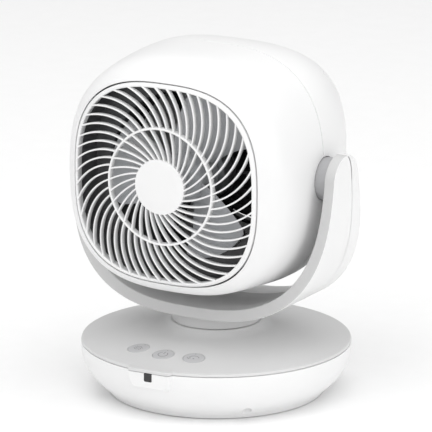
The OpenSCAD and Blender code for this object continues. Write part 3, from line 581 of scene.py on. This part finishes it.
def rear_shell():
    """Rear shell: seam groove, skin, roll into the flat back, intake and screw recesses."""
    rows = [head_section(SEAM_F, inset, -lift) for inset, lift in SEAM_GROOVE]
    rows += [head_section(f) for f in np.linspace(SEAM_F - 1.2, REAR_ROLL_F, 44)]
    # roll from the side wall into the flat back, as a quarter of an ellipse
    edge, steps = head_section(REAR_ROLL_F), 10
    half_w, power = head_half_w(REAR_ROLL_F), head_power(REAR_ROLL_F)
    start = section(half_w, REAR_ROLL_F, power)
    for i in range(1, steps + 1):
        t = math.pi / 2 * i / steps
        f = REAR_ROLL_F - (REAR_ROLL_F - BACK_F) * math.sin(t)
        inner = section(half_w - REAR_ROLL * (1 - math.cos(t)), f, power - 0.7 * i / steps)
        keep = 1 - i / steps
        rows.append([(x, y, z + keep * (e[2] - s[2]))
                     for (x, y, z), e, s in zip(inner, edge, start)])
    rows += [round_ring(INTAKE_R + wider, BACK_F + f) for wider, f in ((0.5, 0), (0, 0.5), (0, 3))]
    rows += [section(87, -84.0, 2.4), section(half_w - 4.5, -81.0, 2.9)]
    rows += [head_section(f, HEAD_WALL) for f in (-76, -65, -50, -35, -20, SEAM_F - 0.06)]
    piece = from_grids("head_rear_shell", [(rows, True, False)])
    # the posts end at the skin, so the screws' recesses cut through it as short slots
    for post in screw_posts(7.0, -78, SPLIT_F - 0.4):
        skin = [head_section(f, 0.6) for f in range(-30, -81, -5)]
        combined(post, [from_grids("form", [(skin, False, True)])], "INTERSECT")
        combined(piece, [post], "UNION")
    heads, shanks = screw_posts(5.0, -95, SCREW_SEAT_F), screw_posts(1.7, SCREW_SEAT_F - 1, 0)
    combined(piece, pivot_pockets() + heads + shanks)
    return place(piece, "head", "white_shell", WHITE, "rear_shell")


def fin(start, turn, r0, r1, steps):
    """Grid of one fin: a rounded front edge that follows turn(r) and a thinner rear edge."""
    half = FIN_T / 2
    outline = [(half * math.sin(t), half * (math.cos(t) - 1) * 0.9)
               for t in np.radians(np.linspace(-90, 90, 7))]
    thin = half * 0.62
    outline += [(thin, -FIN_DEPTH + 0.4), (thin * 0.6, -FIN_DEPTH), (-thin * 0.6, -FIN_DEPTH),
                (-thin, -FIN_DEPTH + 0.4)]
    rows = []
    for i in range(steps + 1):
        r = r0 + (r1 - r0) * i / steps
        here = math.radians(start + turn(r))
        lean = r * math.radians(turn(r + 0.05) - turn(r - 0.05)) / 0.1
        radial = np.array([math.cos(here), math.sin(here)])
        across = np.array([-radial[1], radial[0]])
        along = (radial + lean * across) / math.hypot(1, lean)
        normal = np.array([-along[1], along[0]])
        front = grille_f(r)
        row = []
        for side, depth in outline:
            x, z = radial * r + normal * side
            row.append((x, -(front + depth), z + TILT_Z))
        rows.append(row)
    return rows, False, True


def inner_turn(r):
    """Degrees that an inner fin has turned by radius r."""
    return INNER_SWEEP * math.log(r / DISC_R) / math.log(RING_R / DISC_R)


def outer_turn(r):
    """Degrees that an outer fin has turned by radius r."""
    return OUTER_SWEEP[0] * (r - RING_R) + OUTER_SWEEP[1] * (r - RING_R) ** 2


def fin_reach(start):
    """Radius at which an outer fin is well inside the frame."""
    low, high = 80.0, 112.0
    half_w = FRAME_IN + 1
    for _ in range(20):
        middle = (low + high) / 2
        t = math.radians(start + outer_turn(middle))
        inside = middle < squircle_radius(t, half_w, half_w * HEAD_ASPECT, GRILLE_POWER)
        low, high = (middle, high) if inside else (low, middle)
    return low


def front_grille():
    """Swirl fins, the ring and disc that carry them, and the frame around them."""
    grids = [fin(360 * k / INNER_FINS, inner_turn, DISC_R - 1, RING_R, 14)
             for k in range(INNER_FINS)]
    for k in range(OUTER_FINS):
        start = 360 * k / OUTER_FINS
        grids.append(fin(start, outer_turn, RING_R, fin_reach(start), 22))
    disc = filleted([(0, DISC_F), (DISC_R, DISC_F, 0.9), (DISC_R, DISC_F - DISC_T, 0.4),
                     (0, DISC_F - DISC_T)])
    grids.append(spun_f(disc, 128))
    ring_f = grille_f(RING_R)
    inside, outside = RING_R - RING_HALF_T, RING_R + RING_HALF_T
    ring = filleted([(inside, ring_f - FIN_DEPTH), (inside, ring_f + 0.25, 0.9),
                     (outside, ring_f + 0.25, 0.9), (outside, ring_f - FIN_DEPTH)])
    grids.append(spun_f(ring, 180))
    crest = (arc(FRAME_OUT - 1.2, 95.9, 0.7, 0.7, 0, 60, 4)
             + arc(FRAME_IN + 1.5, 97.6, 1.5, 1.2, 80, 180, 7))
    profile = [(FRAME_OUT - 0.5, FRAME_BACK_F)] + crest + [(FRAME_IN, FRAME_BACK_F)]
    grids.append(([section(w, f, GRILLE_POWER) for w, f in profile], True, False))
    piece = from_grids("head_front_grille", grids)
    return place(piece, "head", "white_shell", GRILLE_WHITE, "front_grille")


def rear_grille():
    """Rings that narrow to the rear and hide one another, twelve ribs and a hub cup."""
    back = BACK_F + 0.6
    louvre_t, louvre_rise, louvre_step = 2.2, 7, 8
    outlines = [[(r, back, 0.5), (r + louvre_t, back, 0.5),
                 (r + louvre_t + 6.8, back + louvre_rise, 0.5), (r + 6.8, back + louvre_rise, 0.5)]
                for r in range(18, 67, louvre_step)]
    rim_in, rim_out = INTAKE_R - 4, INTAKE_R - 0.1
    outlines.append([(rim_in, back - 0.2, 0.8), (rim_out, back - 0.2, 0.3),
                     (rim_out, back + 7.8), (rim_in, back + 7.8)])
    outlines.append([(0, back - 0.2), (19, back - 0.2, 0.8), (19, back + 4.4, 0.3),
                     (14, back + 4.4, 0.3), (14, back + 1.8), (0, back + 1.8)])
    grids = [spun_f(filleted(outline, 3)) for outline in outlines]
    rib = filleted([(-1.1, back + 0.4, 0.5), (1.1, back + 0.4, 0.5), (1.1, back + 6.4),
                    (-1.1, back + 6.4)], 3)
    for k in range(12):
        turn = math.radians(30 * k)
        ribs = []
        for r in (16, INTAKE_R - 2):
            ribs.append([(r * math.cos(turn) - side * math.sin(turn), -f,
                          r * math.sin(turn) + side * math.cos(turn) + TILT_Z)
                         for side, f in rib])
        grids.append((ribs, False, True))
    piece = from_grids("head_rear_grille", grids)
    # the near-black colour of the rear grille is painted shade, so the intake stays as dark as the
    # hollow behind the front grille
    return place(piece, "head", "dark_plastic", DARK_PAINTED_SHADE, "rear_grille")


def air_duct():
    """A sleeve in the grille's shape, a baffle, and a round duct around the impeller, in a dark
    grey that paints the shade inside the head.
    """
    sleeve_f, baffle_f, sleeve_w = 88.5, 60.0, 98.2
    baffle_back = baffle_f - 2.5
    rows = [section(w, f, GRILLE_POWER, 200) for w, f in (
        (sleeve_w, baffle_back), (sleeve_w, sleeve_f), (sleeve_w - 2, sleeve_f),
        (sleeve_w - 2, baffle_f + 1.5), (sleeve_w - 2.6, baffle_f + 0.4), (sleeve_w - 4, baffle_f))]
    rows += [round_ring(r, f, 200) for r, f in (
        (82.6, baffle_f), (81.8, baffle_f - 0.3), (81.5, baffle_f - 1), (81.5, baffle_back),
        (84, baffle_back), (84, 8.4), (84.6, 8), (86, 8), (86.5, 8.5), (86.5, baffle_back))]
    piece = from_grids("head_air_duct", [(rows, True, False)])
    return place(piece, "head", "dark_plastic", DUCT_PAINTED_SHADE, "air_duct")


def pivot_bosses():
    boss_in, boss_out = BOSS_IN, YOKE_HALF_W - YOKE_T - 0.4
    bore, spigot = 8.05, 12
    profile = filleted([(bore, boss_in), (BOSS_R, boss_in, 0.5), (BOSS_R, boss_out, 0.6),
                        (spigot, boss_out), (spigot, boss_out + 3, 0.4), (bore, boss_out + 3)])
    piece = from_grids("pivot_bosses_pair", [spun_x(profile, side) for side in (-1, 1)])
    # the bosses' darker grey is partly their own tone and partly painted shade from the head and
    # yoke arms
    return place(weighted(piece), "yoke", "satin_white", PIVOT_GREY_AND_SHADE, "pivot_bosses")


# ------------------------------------------------------------------ impeller

def blade(start):
    """Grid of one blade: a broad sheet that climbs along the axis, with rounded outer corners."""
    spans, chords, half = 26, 30, 1.0
    rows = []
    for i in range(spans + 1):
        share = math.sin(math.pi / 2 * i / spans)
        r = 23 + (BLADE_R - 23) * share
        u = (r - 30) / 51
        centre = 68.5 - 13.3 * u
        width = 63 + 14 * max(1 - u, 0) ** 3
        tip = max((r - BLADE_R + 9) / 9, 0)
        width *= 1 - 0.11 * (1 - math.sqrt(max(1 - tip * tip, 0)))
        top, bottom = [], []
        for j in range(chords + 1):
            s = j / chords - 0.5
            turn = math.radians(start + centre + s * width)
            camber = 3.0 * (1 - 4 * s * s)
            f = 54 + 19 * s * (1.15 - 0.3 * i / spans) + camber
            edge = half * math.sqrt(max(1 - (2 * abs(s)) ** 8, 0.02))
            for row, side in ((top, edge), (bottom, -edge)):
                row.append((r * math.cos(turn), -(f + side), r * math.sin(turn) + TILT_Z))
        rows.append(top + bottom[::-1])
    return rows, False, True


def impeller():
    """Hub with three blades, and the nut that holds it on the shaft."""
    hub = filleted([(4, 70), (15, 70, 6), (22.5, 67.5, 8), (25, 56, 6), (25, 39, 0.5), (22.6, 39),
                    (22.6, 57), (18, 65), (9, 66), (9, 46), (4, 46)], steps=6)
    grids = [spun_f(hub, 144)] + [blade(120 * k) for k in range(3)]
    piece = from_grids("impeller_blades", grids)
    place(piece, "impeller", "blade_grey", BLADE, "impeller")
    nut = filleted([(0, 79), (6, 78.6, 4), (11, 74.5, 2.5), (11, 70, 0.4), (4, 70), (4, 73.05),
                    (0, 73.05)], steps=6)
    cap = from_grids("impeller_spinner_nut", [spun_f(nut, 72)])
    place(cap, "impeller", "blade_grey", BLADE, "impeller_nut")


# ------------------------------------------------------------------ yoke

def yoke_half(name, edge, seam, outer_round, inner_round):
    """Half of the yoke, edge (-1 front, 1 rear) to seam, both as shares of half its depth."""
    arch = list(np.linspace(90, 0, 22))
    lower = list(np.linspace(0, 180, 141))[1:-1]
    stations = [("arm", t, 1) for t in arch] + [("foot", t, 1) for t in lower]
    stations += [("arm", t, -1) for t in arch[::-1]]
    toward_edge = 1 if edge > seam else -1
    rows = []
    for kind, angle, side in stations:
        fade = math.cos(math.radians(angle)) if kind == "arm" else 1.0
        big = 1.1 + (outer_round - 1.1) * fade
        quarter = np.radians(np.linspace(0, 90, 7))
        offsets = [(big * (1 - math.cos(t)), big * (1 - math.sin(t))) for t in quarter]
        offsets += [(YOKE_T - inner_round * (1 - math.sin(t)), inner_round * (1 - math.cos(t)))
                    for t in quarter]
        groove = 0.3 * fade
        seam_points = [(groove, big)] + offsets[1:]
        row = [yoke_point(kind, angle, side, u, v, edge, 0.0) for u, v in offsets]
        row += [yoke_point(kind, angle, side, u, v, seam, 0.06 * toward_edge * fade)
                for u, v in reversed(seam_points)]
        row.append(yoke_point(kind, angle, side, 0.0, big, seam, groove * toward_edge))
        rows.append(row)
    return from_grids(name, [(rows, False, True)])


def foot_place(angle, inset):
    """Point (x, height over the tilt axis) of the yoke's U, inset from its outer surface."""
    t, power = math.radians(angle), 2 / YOKE_POWER
    x = (YOKE_HALF_W - inset) * math.copysign(abs(math.cos(t)) ** power, math.cos(t))
    return x, -(YOKE_DROP - inset) * math.sin(t) ** power


def foot_spread(z):
    """How much deeper than at the tilt axis the yoke is at a height under it."""
    return (YOKE_FOOT_DEPTH - ARM_END_R) * -z / YOKE_DROP


def yoke_point(kind, angle, side, inset, shrink, share, shift):
    """A point of the yoke: inset from its outer surface, shrink from its outline in side view."""
    radius = ARM_END_R - shrink
    if kind == "arm":
        t = math.radians(angle)
        return (side * (YOKE_HALF_W - inset), share * radius * math.cos(t) + shift,
                radius * math.sin(t) + TILT_Z)
    x, z = foot_place(angle, inset)
    return (x, share * (radius + foot_spread(z)) + shift, z + TILT_Z)


def yoke():
    front = yoke_half("yoke_front_cover", -1, YOKE_SEAM, 1.1, 0.9)
    place(weighted(front), "yoke", "satin_white", SATIN, "yoke_front")
    # its front face is satin grey, its outer side is white like the rear half
    front.data.materials.append(WHITE)
    middle = Vector((0, 0, TILT_Z * MM))
    for face in front.data.polygons:
        outward = face.center - middle
        outward.y = 0
        if face.center.z > middle.z:
            on_side = abs(face.normal.x) > 0.7
        else:
            on_side = abs(face.normal.y) < 0.75
        if on_side and face.normal.dot(outward) > 0:
            face.material_index = 1
    rear = yoke_half("yoke_rear_cover", 1, YOKE_SEAM, 5.0, 1.2)
    recesses = []
    for angle in YOKE_SCREW_TURNS:
        x, z = foot_place(angle, YOKE_T / 2)
        seat_y = YOKE_SEAM * (ARM_END_R + foot_spread(z)) + 5
        recesses.append(rod("recess", (x, seat_y, TILT_Z + z), (x, 60, TILT_Z + z), 2.9, 32))
    combined(rear, recesses)
    place(rear, "yoke", "white_shell", WHITE, "yoke_rear")
    bottom = corners("yoke_neck")[0].z
    lower, upper, wall = 70.3, 88.0, 3
    profile = filleted([(8, lower), (NECK_R, lower, 0.8), (NECK_R, upper), (NECK_R - wall, upper),
                        (NECK_R - wall, lower + wall), (12, lower + wall), (12, bottom),
                        (8, bottom)][::-1])
    neck = from_grids("yoke_neck_sleeve", [spun_z(profile)])
    place(weighted(neck), "yoke", "satin_white", SATIN, "yoke_neck")


# ------------------------------------------------------------------ base

def bowl_r(z):
    """Outer radius of the bowl at a height."""
    return BASE_R - BOWL_FALL * ((SEAM_Z - z) / BOWL_RISE) ** BOWL_POWER


def cover_top(r):
    """Height of the cover's sloping top at a radius."""
    return COVER_Z + (BUTTON_RING_R - r) * math.tan(math.radians(COVER_SLOPE))


def turned(piece, degrees):
    """Turns a piece's mesh about the vertical axis through the middle of the base."""
    cos, sin = math.cos(math.radians(degrees)), math.sin(math.radians(degrees))
    for vertex in piece.data.vertices:
        x, y, z = vertex.co
        vertex.co = (x * cos - y * sin, x * sin + y * cos, z)
    return piece


def housing(name, top, low_z):
    """The receiver's housing: a block that narrows downwards and forwards, with rounded edges.

    Only the part above low_z is kept, and that part also has a rounded top edge.
    """
    rounded_top = low_z > 0
    crown_r = 1.2 if rounded_top else 0.0

    def outline(grow, y, crown):
        half_top, half_low, bottom = 22.1 + grow, 18.3 + grow * 0.85, 33.7 - grow
        points = [(half_top, top - crown, crown_r), (half_top - 0.9, 40.5, 3),
                  (half_low + 0.9, bottom + 2.6, 2.5), (half_low - 1.8, bottom, 2.5)]
        points = points + [(-x, z, r) for x, z, r in reversed(points)]
        return [(x, y, z) for x, z in filleted(points, 5)]

    # growth of the outline, distance behind the front face, drop of the top edge
    depth = BOSS_FRONT - BOSS_BACK
    shape = [(-1.6, 0, 1.1), (-0.9, 0.12, 0.6), (-0.3, 0.55, 0.25), (0.1, 1.2, 0.05), (0.9, 3.2, 0),
             (2.2, 7, 0), (4.5, depth, 0)]
    rows = [outline(grow, back - BOSS_FRONT, crown if rounded_top else 0)
            for grow, back, crown in shape]
    piece = from_grids(name, [(rows, False, True)])
    if rounded_top:
        combined(piece, [rod("block", (0, -125, low_z - 200), (0, -125, low_z), 100, 8)])
    return turned(piece, BOSS_TURN)


def base_bowl():
    """Lower casing: bowl, receiver housing, socket collar and the recesses under it."""
    top, wall, floor_z = SEAM_Z - SEAM_HALF_GAP, 4.2, 3.3
    lip_in, lip_out, lip_z = BASE_R - wall, BASE_R - 2.6, SEAM_Z + 1
    outer = [(0, 0.8), (103.1, 0.8), (103.5, 1.2), (105.1, 4.9), (105.4, 5.2), (106.5, 5.5),
             (107.4, 5.9)]
    outer += [(bowl_r(z), z) for z in np.linspace(6.6, top - 0.4, 40)]
    outer += [(BASE_R - 0.35, top), (lip_out, top), (lip_out, lip_z), (lip_in, lip_z)]
    inner = [(bowl_r(z) - wall, z) for z in np.linspace(SEAM_Z - 4, 8, 16)]
    inner += [(98, floor_z), (0, floor_z)]
    piece = from_grids("base_lower_bowl", [spun_z(outer + inner, 240)])
    rim = filleted([(0, 106), (8, 106), (8, COLLAR_BACK, 1.2), (0, COLLAR_BACK)], 5)
    rows, closed, capped = spun_z(rim, 72)
    rows = [[(x, along, SOCKET_Z + y) for x, y, along in row] for row in rows]
    collar = from_grids("collar", [(rows, closed, capped)])
    combined(piece, [housing("boss", top, 0), collar], "UNION")
    hollow = [(0, floor_z), (98, floor_z)] + inner[-3::-1] + [(0, SEAM_Z - 4)]
    combined(piece, [from_grids("hollow", [spun_z(hollow, 240)])])
    cutters = []
    for k in range(4):
        x, y = polar(SCREW_RING_R, 45 + 90 * k)
        cutters.append(rod("recess", (x, y, -2), (x, y, 15), 4.6, 40))
    for k in range(6):
        x, y = polar(FOOT_RING_R, 60 * k)
        cutters.append(rod("foot", (x, y, -2), (x, y, 1.8), 8.05, 48))
    cutters.append(rod("socket", (0, 104, SOCKET_Z), (0, 140, SOCKET_Z), 5.0, 48))
    window = rounded_box("window", (0, -130, 44.85), (8.5, 16, 8.5), 1.5)
    combined(piece, cutters + [turned(window, BOSS_TURN)])
    return place(piece, "base", "white_shell", WHITE, "base_bowl")


def rounded_box(name, middle, size, radius):
    """A box whose lower edges along y are rounded."""
    x, z = size[0] / 2, size[2] / 2
    outline = filleted([(-x, -z, radius), (x, -z, radius), (x, z, 0.3), (-x, z, 0.3)], 5)
    rows = [[(middle[0] + px, middle[1] + y, middle[2] + pz) for px, pz in outline]
            for y in (-size[1] / 2, size[1] / 2)]
    return from_grids(name, [(rows, False, True)])


def button_frame(place_index):
    """Middle of a button's face, and its axes: along the ring, inwards and out of the face."""
    turn = math.radians(BUTTON_TURN + BUTTON_STEP * place_index)
    tilt = math.radians(COVER_SLOPE)
    middle = Vector((BUTTON_RING_R * math.sin(turn), -BUTTON_RING_R * math.cos(turn), COVER_Z))
    along = Vector((math.cos(turn), math.sin(turn), 0))
    level = math.cos(tilt)
    inward = Vector((-math.sin(turn) * level, math.cos(turn) * level, math.sin(tilt)))
    return middle, along, inward, along.cross(inward)


def base_cover():
    """Upper casing: rounded rim, sloping top, flare to the neck, housing lip and button holes."""
    low = SEAM_Z + SEAM_HALF_GAP
    rim = [(BASE_R - 2.2, low), (BASE_R - 0.75, low), (BASE_R - 0.4, low + 0.35)]
    rim += filleted([(BASE_R - 0.3, 49.7), (BASE_R - 1.0, 51.9, 2.4), (118, cover_top(118), 9),
                     (112, cover_top(112))], 8, closed=False)[:-1]
    cone = [(r, cover_top(r)) for r in (112, 104, 96, 88, 80, 72, 64, 58)]
    flare = [(54.5, 64.08), (52, 64.85), (49.6, 65.85), (47.6, 66.9), (46, 67.95), (44.9, 68.9),
             (44.3, 69.55), (43.6, 69.8)]
    wall = 2.6
    under = [(30, 69.8), (30, 67.2), (42, 67.0), (49, 63), (56, cover_top(56) - wall),
             (112, cover_top(112) - wall), (122, cover_top(112) - 4.4), (BASE_R - 2.2, 49.4)]
    piece = from_grids("base_upper_cover", [spun_z(rim + cone + flare + under, 240)])
    combined(piece, [housing("lip", 52.3, low)], "UNION")
    holes = []
    for index in (-1, 0, 1):
        middle, _, _, out = button_frame(index)
        holes.append(rod("hole", middle - out * 9, middle + out * 5, BUTTON_R + 0.25, 72))
    combined(piece, holes)
    return place(piece, "base", "satin_white", COVER, "base_cover")


def receiver_window():
    """The dark window in the receiver's housing."""
    depth = 2.6
    middle = (0, -BOSS_FRONT + depth / 2, 44.65)
    piece = rounded_box("receiver_window_lens", middle, (8.4, depth, 8.0), 1.5)
    return place(turned(piece, BOSS_TURN), "base", "black_lens", LENS, "ir_window")


def ribbon(points, width, closed=False):
    """Grid of a flat printed line along points in a plane."""
    rows = []
    count = len(points)
    for i, point in enumerate(points):
        here = np.array(point, float)
        before = np.array(points[i - 1] if i or closed else point, float)
        after = np.array(points[(i + 1) % count] if i < count - 1 or closed else point, float)
        along = (after - before) / np.linalg.norm(after - before)
        side = np.array([-along[1], along[0]]) * width / 2
        left, right = here - side, here + side
        rows.append([(*left, 0.0), (*right, 0.0), (*right, PRINT_T), (*left, PRINT_T)])
    return rows, closed, not closed


def dot(radius, count, centre):
    """Grid of a printed dot."""
    return spun_z([(0, 0), (radius, 0), (radius, PRINT_T), (0, PRINT_T)], count, centre)


def wave_marks():
    """Three gusts of wind as wavy lines."""
    lines = []
    for row in (-1, 0, 1):
        points = [(x, row * 2.5 - 0.4 + 0.75 * math.sin(x * 0.95 + row))
                  for x in np.linspace(-4.5, 4.5, 31)]
        lines.append(ribbon(points, 0.75))
    return lines


def power_marks():
    """An open ring with a short bar."""
    ring = arc(0, -0.6, 4.6, 4.6, 122, 418, 40)
    return [ribbon(ring, 0.85), ribbon([(0, 0.4), (0, 5.0)], 0.85)]


def swing_marks():
    """A turning arrow: an arc with an arrow head at its left end, and a dot it turns about."""
    ring = arc(0, -1.6, 5.0, 5.0, 12, 158, 30)
    head = ribbon([(-6.4, -0.4), (-4.9, -2.6), (-3.1, -0.6)], 1.1)
    return [ribbon(ring, 0.8), head, dot(0.9, 24, (0, -2.2))]


def buttons():
    """Three push buttons with slightly domed faces, printed marks and a small lamp dot."""
    kinds = (("wind", -1, wave_marks()), ("power", 0, power_marks()), ("swing", 1, swing_marks()))
    for name, index, marks in kinds:
        middle, along, inward, out = button_frame(index)
        # the board is flat and the cover is a cone, so the side buttons' stems are shorter
        stem = -6.65 + 1.1 * abs(index)
        flange_r = BUTTON_R + 1.4
        cap = [(0, 0.42), (4, 0.40), (7.5, 0.34), (9.6, 0.24), (10.2, 0.12), (BUTTON_R, -0.25),
               (BUTTON_R, -2.9), (flange_r, -2.9), (flange_r, -4.1), (3, -4.1), (3, stem),
               (0, stem)]
        grid = seat(spun_z(cap, 96), middle, along, inward, out, 0)
        piece = from_grids("button_cap_" + name, [grid])
        place(piece, "button_" + name, "button_grey", BUTTON, "button_" + name)
        marks = [seat(grid, middle, along, inward, out, 0.36)
                 for grid in marks + [dot(0.55, 20, (0, 8.0))]]
        mark = from_grids("button_mark_" + name, marks)
        place(mark, "button_" + name, "button_grey", PRINT)


def seat(grid, middle, along, inward, out, lift):
    """Moves a grid from a button's own plane to its place on the base."""
    rows, closed, capped = grid
    placed = [[tuple(middle + along * x + inward * y + out * (z + lift)) for x, y, z in row]
              for row in rows]
    return placed, closed, capped


# ------------------------------------------------------------------ camera, floor and light

def camera():
    """The photograph's view: a long lens, 30 degrees to the right and 15 degrees up."""
    turn, rise, distance = math.radians(30.12), math.radians(15.3), 5.0017
    right = Vector((math.cos(turn), math.sin(turn), 0))
    level = math.cos(rise)
    back = Vector((math.sin(turn) * level, -math.cos(turn) * level, math.sin(rise)))
    target = Vector((0, 0, 0.17071)) - right * 0.00038
    data = bpy.data.cameras.new("camera")
    data.lens = 436.84
    data.sensor_width = 36
    data.clip_end = 50
    eye = bpy.data.objects.new("camera", data)
    bpy.context.scene.collection.objects.link(eye)
    eye.location = target + back * distance
    eye.rotation_euler = back.to_track_quat("Z", "Y").to_euler()
    bpy.context.scene.camera = eye


def area_light(name, spot, target, size, watts, colour=(1, 1, 1)):
    data = bpy.data.lights.new(name, "AREA")
    data.shape = "RECTANGLE"
    data.size, data.size_y = size
    data.energy = watts
    data.color = colour
    lamp = bpy.data.objects.new(name, data)
    bpy.context.scene.collection.objects.link(lamp)
    lamp.location = spot
    lamp.rotation_euler = (Vector(spot) - Vector(target)).to_track_quat("Z", "Y").to_euler()
    return lamp


def studio():
    """A pale floor and soft light from a bright room."""
    floor_mesh = bpy.data.meshes.new("floor")
    half = 12.0
    square = [(-half, -half, 0), (half, -half, 0), (half, half, 0), (-half, half, 0)]
    floor_mesh.from_pydata(square, [], [(0, 1, 2, 3)])
    floor = bpy.data.objects.new("floor", floor_mesh)
    bpy.context.scene.collection.objects.link(floor)
    material, tree, shader = new_material("floor_paper")
    speckle = texture(tree, Scale=40.0, Detail=3.0)
    base_colour = ramp(tree, speckle.outputs["Fac"], (0.955, 0.955, 0.955), (0.965, 0.965, 0.965))
    tree.links.new(base_colour, shader.inputs["Base Color"])
    shader.inputs["Roughness"].default_value = 0.9
    shader.inputs["Specular IOR Level"].default_value = 0.1
    floor_mesh.materials.append(material)
    world = bpy.data.worlds.new("studio")
    bpy.context.scene.world = world
    world.use_nodes = True
    sky = world.node_tree
    # brighter on the camera's side, darker behind the object
    facing = node(sky, "ShaderNodeVectorMath", operation="DOT_PRODUCT")
    facing.inputs[1].default_value = (0.50, -0.86, 0.1)
    sky.links.new(sky.nodes.new("ShaderNodeTexCoord").outputs["Generated"], facing.inputs[0])
    level = node(sky, "ShaderNodeMapRange", interpolation_type="SMOOTHSTEP")
    for key, value in (("From Min", -0.5), ("From Max", 0.7), ("To Min", 0.42), ("To Max", 1.04)):
        level.inputs[key].default_value = value
    sky.links.new(facing.outputs["Value"], level.inputs["Value"])
    sky.links.new(level.outputs["Result"], sky.nodes["Background"].inputs["Strength"])
    sky.nodes["Background"].inputs["Color"].default_value = (1, 1, 1, 1)
    middle = (0, 0, 0.2)
    area_light("top", (0, 0, 2.4), middle, (3.0, 3.0), 28)
    area_light("key", (-0.2, -1.5, 2.0), middle, (1.5, 1.5), 4)
    area_light("side", (2.2, 0, 0.8), middle, (1.2, 1.6), 5)
    bpy.context.scene.view_settings.view_transform = "Standard"


dress_cad_nodes()
front_shell()
rear_shell()
front_grille()
rear_grille()
air_duct()
pivot_bosses()
impeller()
yoke()
base_bowl()
base_cover()
receiver_window()
buttons()
camera()
studio()
